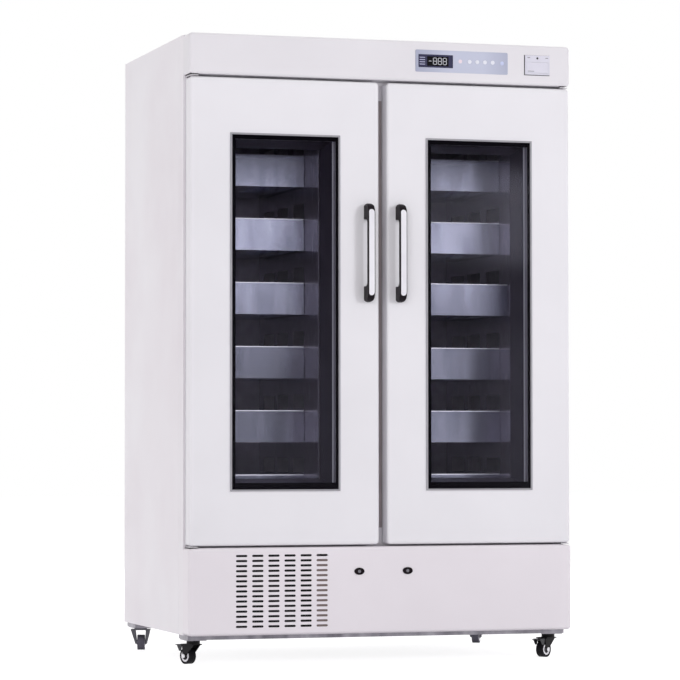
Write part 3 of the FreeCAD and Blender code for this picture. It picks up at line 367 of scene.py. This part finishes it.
FINISHES = {
    "white_enamel": door_white, "foam": insulation_foam, "liner_steel": liner_steel,
    "dark_plastic": post_grey, "rack_steel": rack_steel, "keypad_film": panel_film,
    "display_dark": display_black, "recorder_plastic": recorder_lilac,
    "rail_steel": rail_grey, "compressor_iron": compressor_black,
    "coil_aluminium": aluminium, "door_plastic": liner_white,
    "trim_plastic": trim_silver, "clear_glass": window_glass, "seal_rubber": seal_rubber_and_painted_light,
    "handle_plastic": bow_black, "strip_plastic": strip_silver, "lock_chrome": plug_nickel,
    "drawer_steel": drawer_steel, "key_plastic": key_white, "fan_plastic": fan_black,
    "fork_dark": fork_black, "pedal_plastic": pedal_grey, "fork_zinc": dark_zinc,
    "wheel_rubber": tyre_black,
}
# The shell, lower panel and fascia take their own tones of the one coat: painted light and
# shade.
OWN_FINISHES = {
    "outer_shell": shell_white, "lower_panel": panel_white, "top_fascia": fascia_white,
    "hinge_brackets": hinge_zinc, "rear_left_wheel": tyre_grey, "rear_right_wheel": tyre_grey,
}


def dress_frame():
    """Gives each CAD node the finish of its slot, or its own."""
    slots = {row["node"]: row["material_slot"] for row in frame["record"]["subparts"]}
    for name, thing in nodes.items():
        thing.data.materials.clear()
        thing.data.materials.append(OWN_FINISHES.get(name, FINISHES[slots[name]]))


dress_frame()


# New pieces.
def piece(name, mesh, material, body, smooth=False):
    """A bmesh made into an object that rides on a body."""
    bmesh.ops.remove_doubles(mesh, verts=mesh.verts, dist=1e-6)
    bmesh.ops.recalc_face_normals(mesh, faces=mesh.faces)
    data = bpy.data.meshes.new(name)
    mesh.to_mesh(data)
    mesh.free()
    data.materials.append(material)
    thing = bpy.data.objects.new(name, data)
    bpy.context.scene.collection.objects.link(thing)
    if smooth:
        for face in data.polygons:
            face.use_smooth = True
        data.set_sharp_from_angle(angle=math.radians(35))
    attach(thing, body)
    return thing


def box(mesh, low, high, bevel=0.0, segments=2):
    """A block between two corners, with its edges rounded."""
    low, high = Vector(low), Vector(high)
    made = bmesh.ops.create_cube(mesh, size=1)["verts"]
    bmesh.ops.scale(mesh, vec=high - low, verts=made)
    bmesh.ops.translate(mesh, vec=(low + high) / 2, verts=made)
    if bevel:
        edges = list({edge for vert in made for edge in vert.link_edges})
        bmesh.ops.bevel(mesh, geom=edges, offset=bevel, segments=segments, profile=0.5,
                        affect="EDGES", material=-1)


def frame_ring(mesh, low, high, widths):
    """A flat rectangular frame between two outer corners, with its left, right, low and
    high widths."""
    left, right, foot, head = widths
    box(mesh, low, (low[0] + left, high[1], high[2]))
    box(mesh, (high[0] - right, low[1], low[2]), high)
    box(mesh, (low[0] + left, low[1], low[2]), (high[0] - right, high[1], low[2] + foot))
    box(mesh, (low[0] + left, low[1], high[2] - head), (high[0] - right, high[1], high[2]))


def lathe(mesh, outline, steps=40, way=1):
    """A closed outline of (radius, depth) points in mm, turned round the y axis through the
    origin. The way is 1, or -1 for the same part facing back."""
    points = [mesh.verts.new((radius * MM, depth * way * MM, 0)) for radius, depth in outline]
    edges = [mesh.edges.new((point, points[(number + 1) % len(points)]))
             for number, point in enumerate(points)]
    bmesh.ops.spin(mesh, geom=points + edges, cent=(0, 0, 0), axis=(0, 1, 0), angle=math.tau,
                   steps=steps, use_merge=True)


def join(mesh, other):
    """Adds a second mesh to a mesh."""
    data = bpy.data.meshes.new("joined")
    other.to_mesh(data)
    other.free()
    mesh.from_mesh(data)
    bpy.data.meshes.remove(data)


def shift(mesh, place):
    """Moves a whole mesh from the origin to its place."""
    bmesh.ops.translate(mesh, vec=Vector(place), verts=mesh.verts)


# The black print round each window, inside its outer pane.
PRINT_DEPTH = (1.2 * MM, 1.5 * MM)
PRINT_INSET = 1 * MM
PRINT_WIDTHS = (12.5 * MM, 9 * MM, 21.5 * MM, 14.5 * MM)


def window_prints():
    for side in SIDES:
        low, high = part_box(f"{side}_glass")
        front, back = (DOOR_FRONT + depth for depth in PRINT_DEPTH)
        mesh = bmesh.new()
        frame_ring(mesh, (low.x + PRINT_INSET, front, low.z + PRINT_INSET),
                   (high.x - PRINT_INSET, back, high.z - PRINT_INSET), PRINT_WIDTHS)
        piece(f"{side}_window_print", mesh, frit_black, f"{side}_door")


# The aluminium edge of the spacer that shows between the two panes.
SPACER_DEPTH = (4.3 * MM, 23.7 * MM)
SPACER_INSET = 10 * MM
SPACER_SHEET = 0.3 * MM


def window_spacers():
    for side in SIDES:
        low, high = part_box(f"{side}_glass")
        front, back = (DOOR_FRONT + depth for depth in SPACER_DEPTH)
        mesh = bmesh.new()
        frame_ring(mesh, (low.x + SPACER_INSET, front, low.z + SPACER_INSET),
                   (high.x - SPACER_INSET, back, high.z - SPACER_INSET), (SPACER_SHEET,) * 4)
        piece(f"{side}_window_spacer", mesh, spacer_aluminium, f"{side}_door")


# A dark lining on the splayed opening behind each window, from the inner pane to the back of the
# door: painted shade, for the shadow that fills the opening. Gloss passes through it, so that
# the drawers mirror the room and not the lining.
LINING_FRONT_INSET = 13.3 * MM
LINING_BACK_INSET = 33.3 * MM
LINING_SHEET = 0.8 * MM
LINING_PANE_GAP = 0.2 * MM
LINING_BACK = -0.309


def window_reveals():
    for side in SIDES:
        low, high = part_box(f"{side}_glass")
        middle = (low + high) / 2
        mesh = bmesh.new()
        for vert in bmesh.ops.create_cube(mesh, size=1)["verts"]:
            in_front = vert.co.y < 0
            inset = LINING_FRONT_INSET if in_front else LINING_BACK_INSET
            vert.co = (middle.x + math.copysign((high.x - low.x) / 2 - inset, vert.co.x),
                       high.y + LINING_PANE_GAP if in_front else LINING_BACK,
                       middle.z + math.copysign((high.z - low.z) / 2 - inset, vert.co.z))
        ends = [face for face in mesh.faces if abs(face.normal.y) > 0.9]
        bmesh.ops.delete(mesh, geom=ends, context="FACES_ONLY")
        bmesh.ops.recalc_face_normals(mesh, faces=mesh.faces)
        bmesh.ops.solidify(mesh, geom=mesh.faces[:], thickness=LINING_SHEET)
        lining = piece(f"{side}_window_reveal", mesh, reveal_painted_shade, f"{side}_door")
        lining.visible_glossy = False


# The polished folded lip along the top of each drawer. It leans back and catches the light.
LIP_HEIGHT = 2.8 * MM
LIP_REACH = 1.8 * MM
LIP_LEAN = 0.8 * MM
LIP_ROUND = 0.3 * MM
LIP_PROUD = 0.3 * MM
LIP_END = 1 * MM
LIP_SEAT = 0.1 * MM


def drawer_lips():
    for side in SIDES:
        for row in range(1, ROWS + 1):
            name = f"{side}_drawer_{row}"
            low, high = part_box(name)
            top = high.z + LIP_PROUD
            mesh = bmesh.new()
            box(mesh, (low.x + LIP_END, low.y - LIP_REACH, top - LIP_HEIGHT),
                (high.x - LIP_END, low.y - LIP_SEAT, top), LIP_ROUND)
            for vert in mesh.verts:
                vert.co.y += LIP_LEAN * (vert.co.z - top + LIP_HEIGHT) / LIP_HEIGHT
            piece(f"{name}_lip", mesh, lip_steel, name)


# The round covers over the screws at both ends of each handle strip.
COVER_OUTLINE = ((0, -0.1), (5.1, -0.1), (5.5, 0.4), (0, 0.4))
COVER_FROM_END = 12 * MM


def screw_covers():
    for side in SIDES:
        low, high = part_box(f"{side}_handle_strip")
        for end, z in (("upper", high.z - COVER_FROM_END), ("lower", low.z + COVER_FROM_END)):
            mesh = bmesh.new()
            lathe(mesh, COVER_OUTLINE, steps=32)
            shift(mesh, ((low.x + high.x) / 2, low.y, z))
            piece(f"{side}_{end}_screw_cover", mesh, strip_silver, f"{side}_door",
                  smooth=True)


# The face of the display: a printed bezel, a black screen, a dash, three digits of seven
# segments, and four small marks at the left.
DISPLAY_FACE = -0.4068
BEZEL = ((0.1178, DISPLAY_FACE, 1.8754), (0.2331, -0.4062, 1.9163))
SCREEN_X = (0.1466, 0.2185)
SCREEN_Z = (1.8798, 1.9105)
SCREEN_PROUD = 0.15 * MM
SEGMENT_DEPTH = (0.25 * MM, 0.1 * MM)
SEGMENT_GAP = 0.3 * MM
STROKE = 2.1 * MM
DASH_X = (0.1525, 0.1612)
DIGIT_LEFTS = (0.1662, 0.1826, 0.1990)
DIGIT_WIDTH = 13.2 * MM
DIGIT_HEIGHT = 22.4 * MM
DIGIT_LOW = 1.8842
MARK_X = (0.1215, 0.1395)
MARK_LOWS = (1.8835, 1.8907, 1.8979, 1.9051)
MARK_HEIGHT = 2.6 * MM
MARK_PROUD = 0.1 * MM


def display_bezel():
    mesh = bmesh.new()
    box(mesh, *BEZEL, 0.15 * MM, 1)
    piece("display_bezel", mesh, display_navy, "cabinet")
    mesh = bmesh.new()
    box(mesh, (SCREEN_X[0], DISPLAY_FACE - SCREEN_PROUD, SCREEN_Z[0]),
        (SCREEN_X[1], DISPLAY_FACE, SCREEN_Z[1]), 0.06 * MM, 1)
    piece("display_screen", mesh, display_black, "cabinet")


def display_digits():
    mesh = bmesh.new()
    front, back = (DISPLAY_FACE - depth for depth in SEGMENT_DEPTH)
    middle = DIGIT_LOW + DIGIT_HEIGHT / 2
    box(mesh, (DASH_X[0], front, middle - STROKE / 2), (DASH_X[1], back, middle + STROKE / 2))
    for left in DIGIT_LEFTS:
        for z in (DIGIT_LOW, middle - STROKE / 2, DIGIT_LOW + DIGIT_HEIGHT - STROKE):
            box(mesh, (left + STROKE + SEGMENT_GAP, front, z),
                (left + DIGIT_WIDTH - STROKE - SEGMENT_GAP, back, z + STROKE))
        for x in (left, left + DIGIT_WIDTH - STROKE):
            for z in (DIGIT_LOW + STROKE / 2, middle):
                top = z + DIGIT_HEIGHT / 2 - SEGMENT_GAP - STROKE / 2
                box(mesh, (x, front, z + SEGMENT_GAP), (x + STROKE, back, top))
    piece("display_digits", mesh, segment_light, "cabinet")


def display_marks():
    mesh = bmesh.new()
    for z in MARK_LOWS:
        box(mesh, (MARK_X[0], DISPLAY_FACE - MARK_PROUD, z),
            (MARK_X[1], DISPLAY_FACE, z + MARK_HEIGHT))
    piece("display_marks", mesh, mark_light, "cabinet")


# A printed circle round each key, its domed cap, and the two lamp lenses.
KEY_CIRCLE = ((6.9, 0), (7.9, 0), (7.9, -0.12), (6.9, -0.12))
KEY_DOME = ((0, -0.9), (2.2, -0.8), (4.4, -0.45), (6.0, 0.1), (0, 0.1))
LENS_DOME = ((0, -0.9), (2.6, -0.75), (4.8, -0.4), (6.2, 0), (0, 0))
LAMPS = (("left", 0.258, 1.8975, pink_lens), ("right", 0.399, 1.8962, blue_lens))


def key_circles():
    for number in range(1, KEYS + 1):
        low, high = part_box(f"key_{number}")
        middle = (low + high) / 2
        mesh = bmesh.new()
        lathe(mesh, KEY_CIRCLE)
        shift(mesh, (middle.x, KEYPAD_FACE, middle.z))
        piece(f"key_circle_{number}", mesh, key_outline, "cabinet")
        mesh = bmesh.new()
        lathe(mesh, KEY_DOME, steps=32)
        shift(mesh, (middle.x, low.y, middle.z))
        piece(f"key_dome_{number}", mesh, key_white, f"key_{number}",
              smooth=True)


def lamp_lenses():
    for name, x, z, material in LAMPS:
        mesh = bmesh.new()
        lathe(mesh, LENS_DOME, steps=32)
        shift(mesh, (x, KEYPAD_FACE, z))
        piece(f"{name}_lamp_lens", mesh, material, "cabinet", smooth=True)


# The recorder's dark seam, thick at the left and below, is painted shadow: the shadow that the
# recorder's proud front would cast down and to the left, drawn as black rubber. Then its button,
# and
# three small bars of print: two beside the button and one on the flap.
SHADOW_SEAM_OUT_LOW = (2.4 * MM, 0.5 * MM, 2 * MM)
SHADOW_SEAM_OUT_HIGH = (0.8 * MM, -0.05 * MM, 0.8 * MM)
SHADOW_SEAM_WIDTHS = (3.2 * MM, 0.7 * MM, 2.2 * MM, 0.7 * MM)
BAR_DEPTH = (0.15 * MM, 0.05 * MM)
BAR_LENGTH = 9 * MM
BAR_FROM_LEFT = 8 * MM
BAR_FROM_RIGHT = 14 * MM
BAR_DROPS = (8.8 * MM, 6.4 * MM)
FLAP_BAR_X = (5 * MM, 27 * MM)
FLAP_BAR_Z = (4.4 * MM, 6.4 * MM)
BUTTON_OUTLINE = ((0, -0.2), (3.1, -0.2), (3.6, 0.05), (0, 0.05))
BUTTON_DROP = 9 * MM


def recorder_shadow_seam():
    low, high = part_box("recorder_body")
    mesh = bmesh.new()
    frame_ring(mesh,
               (low.x - SHADOW_SEAM_OUT_LOW[0], DOOR_FRONT - SHADOW_SEAM_OUT_LOW[1], low.z - SHADOW_SEAM_OUT_LOW[2]),
               (high.x + SHADOW_SEAM_OUT_HIGH[0], DOOR_FRONT + SHADOW_SEAM_OUT_HIGH[1],
                high.z + SHADOW_SEAM_OUT_HIGH[2]), SHADOW_SEAM_WIDTHS)
    piece("recorder_shadow_seam", mesh, black_button_and_shadow, "cabinet")


def recorder_marks():
    low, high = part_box("recorder_body")
    mesh = bmesh.new()
    for left in (low.x + BAR_FROM_LEFT, high.x - BAR_FROM_RIGHT):
        box(mesh, (left, low.y - BAR_DEPTH[0], high.z - BAR_DROPS[0]),
            (left + BAR_LENGTH, low.y + BAR_DEPTH[1], high.z - BAR_DROPS[1]))
    piece("recorder_marks", mesh, mark_grey, "cabinet")
    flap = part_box("recorder_flap")[0]
    mesh = bmesh.new()
    box(mesh, (flap.x + FLAP_BAR_X[0], flap.y - BAR_DEPTH[0], flap.z + FLAP_BAR_Z[0]),
        (flap.x + FLAP_BAR_X[1], flap.y + BAR_DEPTH[1], flap.z + FLAP_BAR_Z[1]))
    piece("recorder_flap_mark", mesh, mark_grey, "recorder_flap")
    mesh = bmesh.new()
    lathe(mesh, BUTTON_OUTLINE, steps=24)
    shift(mesh, ((low.x + high.x) / 2, low.y, high.z - BUTTON_DROP))
    piece("recorder_button", mesh, black_button_and_shadow, "cabinet", smooth=True)


# The black oval plates of the locks: a round rosette whose rim is stretched sideways, while
# its bore stays round for the plug.
LOCK_OUTLINE = ((5.0, 0), (5.0, -0.7), (5.8, -1.2), (9.4, -1.2), (10.6, -0.8), (11.05, 0),
                (11.05, 2.9), (10.8, 2.9), (10.8, 0))
LOCK_STRETCH = 32.6 / 22.1
LOCK_RIM = 8 * MM
LOCK_FACE = -0.40805
PLUG_RADIUS = 9 * MM


def lock_plates():
    for side in SIDES:
        low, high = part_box(f"{side}_lock")
        x = low.x + PLUG_RADIUS if side == "right" else high.x - PLUG_RADIUS
        mesh = bmesh.new()
        lathe(mesh, LOCK_OUTLINE, steps=48)
        for vert in mesh.verts:
            if math.hypot(vert.co.x, vert.co.z) > LOCK_RIM:
                vert.co.x *= LOCK_STRETCH
        shift(mesh, (x, LOCK_FACE, (low.z + high.z) / 2))
        piece(f"{side}_lock_plate", mesh, bow_black, "cabinet", smooth=True)


# The dust filter behind the vents, and the painted stay beside it, behind the last column.
FILTER = ((-0.492, -0.4025, 0.104), (-0.2195, -0.3965, 0.352))
STAY = ((-0.218, -0.4025, 0.104), (-0.160, -0.4005, 0.326))


def dust_filter():
    mesh = bmesh.new()
    box(mesh, *FILTER, 1 * MM)
    piece("dust_filter", mesh, filter_foam, "cabinet")
    mesh = bmesh.new()
    box(mesh, *STAY, 0.5 * MM)
    piece("filter_stay", mesh, stay_brown, "cabinet")


# The light rims and hubs of the caster wheels, and the nuts on their axles, which are drawn
# nearly
# white: bright zinc with a painted glint. Each swivel stands at its own angle, in degrees.
SWIVELS = {"front_left": 114.7, "front_right": 214.7, "rear_left": 72.7, "rear_right": 62.0}
RIM_OUTLINE = ((12.2, 10), (12.4, 11.8), (13.2, 12.5), (17.2, 12.5), (18.2, 11.9), (18.6, 10))
HUB_OUTLINE = ((3.4, 10), (3.4, 12.2), (6.6, 12.2), (7.4, 11.4), (8.2, 10))
NUT_OUTLINE = ((0, 18.2), (0, 21.2), (4.2, 21.0), (6.0, 20.2), (6.6, 18.9), (6.6, 18.2))


def caster_details():
    for name, angle in SWIVELS.items():
        low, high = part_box(f"{name}_wheel")
        turn = Matrix.Rotation(math.radians(angle), 4, "Z")
        place = Matrix.Translation((low + high) / 2) @ turn
        mesh = bmesh.new()
        for way in (1, -1):
            lathe(mesh, RIM_OUTLINE, way=way)
            lathe(mesh, HUB_OUTLINE, way=way)
        bmesh.ops.transform(mesh, matrix=place, verts=mesh.verts)
        piece(f"{name}_wheel_rims", mesh, rim_white, f"{name}_wheel",
              smooth=True)
        mesh = bmesh.new()
        for way in (1, -1):
            lathe(mesh, NUT_OUTLINE, steps=32, way=way)
        bmesh.ops.transform(mesh, matrix=place, verts=mesh.verts)
        piece(f"{name}_axle_caps", mesh, cap_zinc_and_glint, f"{name}_fork", smooth=True)


# The flush screws that hold the back sheet, down both its sides and along two seams.
BACK_FACE = 0.455
SCREW_SIDES = (-0.612, 0.612)
SCREW_LEVELS = (0.112, 0.352, 1.1, 1.846, 1.94)
SEAM_PLACES = (-0.4, -0.2, 0, 0.2, 0.4)
SEAM_LEVELS = (0.352, 1.846)
SCREW_OUTLINE = ((1.2, -0.9), (1.4, 0.0), (3.6, 0.05), (3.9, 0.05), (3.9, -0.9))


def sheet_screws():
    spots = [(x, z) for z in SCREW_LEVELS for x in SCREW_SIDES]
    spots += [(x, z) for z in SEAM_LEVELS for x in SEAM_PLACES]
    mesh = bmesh.new()
    for x, z in spots:
        head = bmesh.new()
        lathe(head, SCREW_OUTLINE, steps=24)
        shift(head, (x, BACK_FACE, z))
        join(mesh, head)
    piece("back_sheet_screws", mesh, dark_zinc, "cabinet", smooth=True)


# The three flat pins of the bare power inlet in the back.
INLET_X = 0.51
PIN_OFFSETS = (-4.5 * MM, 0, 4.5 * MM)
PIN_HALF = 0.8 * MM
PIN_Y = (0.437, 0.4495)
PIN_Z = (0.1505, 0.1545)


def inlet_pins():
    mesh = bmesh.new()
    for offset in PIN_OFFSETS:
        middle = INLET_X + offset
        box(mesh, (middle - PIN_HALF, PIN_Y[0], PIN_Z[0]),
            (middle + PIN_HALF, PIN_Y[1], PIN_Z[1]), 0.3 * MM)
    piece("inlet_pins", mesh, inlet_brass, "cabinet")


window_prints()
window_spacers()
window_reveals()
drawer_lips()
screw_covers()
display_bezel()
display_digits()
display_marks()
key_circles()
lamp_lenses()
recorder_shadow_seam()
recorder_marks()
lock_plates()
dust_filter()
caster_details()
sheet_screws()
inlet_pins()


# Stage: a white floor and backdrop, plain light, and a graded board that only gloss sees.
def seen_directly(tree):
    """1 for rays from the eye, also by way of gloss or glass."""
    rays = add(tree, "ShaderNodeLightPath", {}, {})
    seen = rays.outputs["Is Camera Ray"]
    for name in ("Is Glossy Ray", "Is Transmission Ray"):
        seen = add(tree, "ShaderNodeMath", {"operation": "MAXIMUM"},
                   {0: seen, 1: rays.outputs[name]}).outputs[0]
    return seen


def lay_floor():
    """White studio paper. The eye sees it nearly white with the object's soft shadow on it,
    and the object is lit by its plain tone."""
    bpy.ops.mesh.primitive_plane_add(size=60)
    floor = bpy.context.object
    floor.name = "floor"
    material, tree, _ = blank("studio_paper")
    paper = add(tree, "ShaderNodeBsdfDiffuse", {}, {"Color": colour("#dedde0")})
    shade = add(tree, "ShaderNodeBsdfDiffuse", {}, {"Color": colour("#a0a0a2")})
    light = add(tree, "ShaderNodeEmission", {},
                {"Color": colour("#ffffff"), "Strength": 0.86})
    shown = add(tree, "ShaderNodeAddShader", {}, {0: shade.outputs[0], 1: light.outputs[0]})
    surface(tree, add(tree, "ShaderNodeMixShader", {},
                      {0: seen_directly(tree), 1: paper.outputs[0], 2: shown.outputs[0]}))
    floor.data.materials.append(material)


def light_world():
    """A white backdrop for the eye, and a dimmer, even light on the object."""
    world = bpy.data.worlds.new("studio")
    bpy.context.scene.world = world
    world.use_nodes = True
    tree = world.node_tree
    tree.nodes.clear()
    dim = add(tree, "ShaderNodeBackground", {}, {"Color": colour("#fffafa"), "Strength": 0.42})
    bright = add(tree, "ShaderNodeBackground", {},
                 {"Color": colour("#ffffff"), "Strength": 1.0})
    mix = add(tree, "ShaderNodeMixShader", {},
              {0: seen_directly(tree), 1: dim.outputs[0], 2: bright.outputs[0]})
    add(tree, "ShaderNodeOutputWorld", {}, {"Surface": mix.outputs[0]})


# A grey board between the camera and the cabinet that only gloss sees, so that the steel
# drawers and the panes have something to mirror. Each list gives a place in metres and the tone
# there. Up the board there are three lists: for what the left drawers mirror, the right
# drawers, and the left panes. Across the board, one list sets where the left panes' tones
# stand, one where the right side begins, and one how much lighter the right side gets.
BOARD = ((-1.6, -6.52, 0.0), (5.2, -6.5, 6.5))
LEFT_DRAWER_TONES = ((0.0, 0.02), (1.24, 0.02), (1.32, 1.35), (1.60, 1.5), (1.70, 1.9),
                     (1.98, 2.1), (2.07, 1.7), (2.12, 0.0), (2.6, 0.0), (3.1, 1.0), (3.3, 2.4))
RIGHT_DRAWER_TONES = ((0.0, 0.95), (1.22, 0.85), (1.36, 0.42), (1.58, 0.46), (1.68, 1.9),
                      (2.02, 2.4), (2.10, 1.8), (2.17, 0.3), (2.6, 0.3), (3.1, 1.0), (3.3, 2.4))
LEFT_PANE_TONES = ((0.0, 0.7), (0.90, 0.6), (1.25, 0.42), (1.45, 0.3), (2.0, 0.12), (2.6, 0.0),
                   (3.1, 1.0), (3.3, 2.4))
LEFT_PANE_REACH = ((1.10, 0), (1.12, 1), (1.76, 1), (1.80, 0))
RIGHT_SIDE_START = ((2.16, 0), (2.26, 1))
RIGHT_SIDE_GAIN = ((2.15, 0.4), (2.30, 0.5), (2.62, 0.9), (2.85, 1.35), (3.1, 1.3))


def graded(tree, value, steps, low, high):
    """A tone that follows the listed levels of a value, in the value's own unit."""
    share = between(tree, value, 0, 1, low, high)
    ramp = add(tree, "ShaderNodeValToRGB", {}, {"Fac": share})
    stops = ramp.color_ramp.elements
    while len(stops) < len(steps):
        stops.new(0.5)
    for stop, (level, tone) in zip(stops, steps):
        stop.position = (level - low) / (high - low)
        stop.color = (tone, tone, tone, 1)
    return ramp.outputs["Color"]


def mixed(tree, share, first, second, how="MIX"):
    """Two tones joined in one."""
    mix = add(tree, "ShaderNodeMix", {"data_type": "RGBA", "blend_type": how},
              {0: share, 6: first, 7: second})
    return mix.outputs[2]


def board_tone(tree, place):
    """The tone at a place on the board."""
    parts = add(tree, "ShaderNodeSeparateXYZ", {}, {"Vector": place})
    (left, _, foot), (right, _, top) = BOARD

    def across(steps):
        return graded(tree, parts.outputs["X"], steps, left, right)

    def up(steps):
        return graded(tree, parts.outputs["Z"], steps, foot, top)

    left_tone = mixed(tree, across(LEFT_PANE_REACH), up(LEFT_DRAWER_TONES), up(LEFT_PANE_TONES))
    right_tone = mixed(tree, 1.0, up(RIGHT_DRAWER_TONES), across(RIGHT_SIDE_GAIN), "MULTIPLY")
    return mixed(tree, across(RIGHT_SIDE_START), left_tone, right_tone)


def hang_board():
    mesh = bmesh.new()
    box(mesh, *BOARD)
    data = bpy.data.meshes.new("grey_board")
    mesh.to_mesh(data)
    mesh.free()
    board = bpy.data.objects.new("grey_board", data)
    bpy.context.scene.collection.objects.link(board)
    material, tree, place = blank("graded_board")
    light = add(tree, "ShaderNodeEmission", {}, {"Color": board_tone(tree, place)})
    through = add(tree, "ShaderNodeBsdfTransparent", {}, {})
    rays = add(tree, "ShaderNodeLightPath", {}, {})
    surface(tree, add(tree, "ShaderNodeMixShader", {},
                      {0: rays.outputs["Is Glossy Ray"], 1: through.outputs[0],
                       2: light.outputs[0]}))
    data.materials.append(material)


def hang_lamp(name, place, target, size, power, tint="#ffffff"):
    """A soft box that lights the object and isn't mirrored in it. Sizes are in metres, power
    in watts."""
    lamp = bpy.data.lights.new(name, "AREA")
    lamp.shape = "RECTANGLE"
    lamp.size, lamp.size_y = size
    lamp.energy = power
    lamp.color = colour(tint)[:3]
    thing = bpy.data.objects.new(name, lamp)
    bpy.context.scene.collection.objects.link(thing)
    thing.location = place
    aim = Vector(target) - Vector(place)
    thing.rotation_euler = aim.to_track_quat("-Z", "Y").to_euler()
    thing.visible_glossy = False


lay_floor()
light_world()
hang_board()
hang_lamp("right_lamp", (3.4, -6.0, 2.35), (0, -0.4, 1.1), (1.3, 1.3), 122, "#fdfeff")
hang_lamp("left_lamp", (-3.1, -7.3, 2.4), (-0.4, -0.2, 1.0), (4.0, 3.2), 182)
hang_lamp("side_lamp", (-6.0, 1.2, 0.8), (-0.6, 0.1, 0.8), (2.5, 2.5), 118)
hang_lamp("back_lamp", (1.2, 6.6, 2.2), (0, 0.4, 1.0), (3.5, 2.5), 175)
hang_lamp("far_side_lamp", (6.2, 1.5, 1.5), (0.6, 0.1, 1.0), (2.5, 2.5), 130)
hang_lamp("top_lamp", (0.1, 0.6, 5.2), (0, 0.2, 1.9), (1.2, 1.2), 44)

bpy.context.scene.view_settings.view_transform = "Standard"
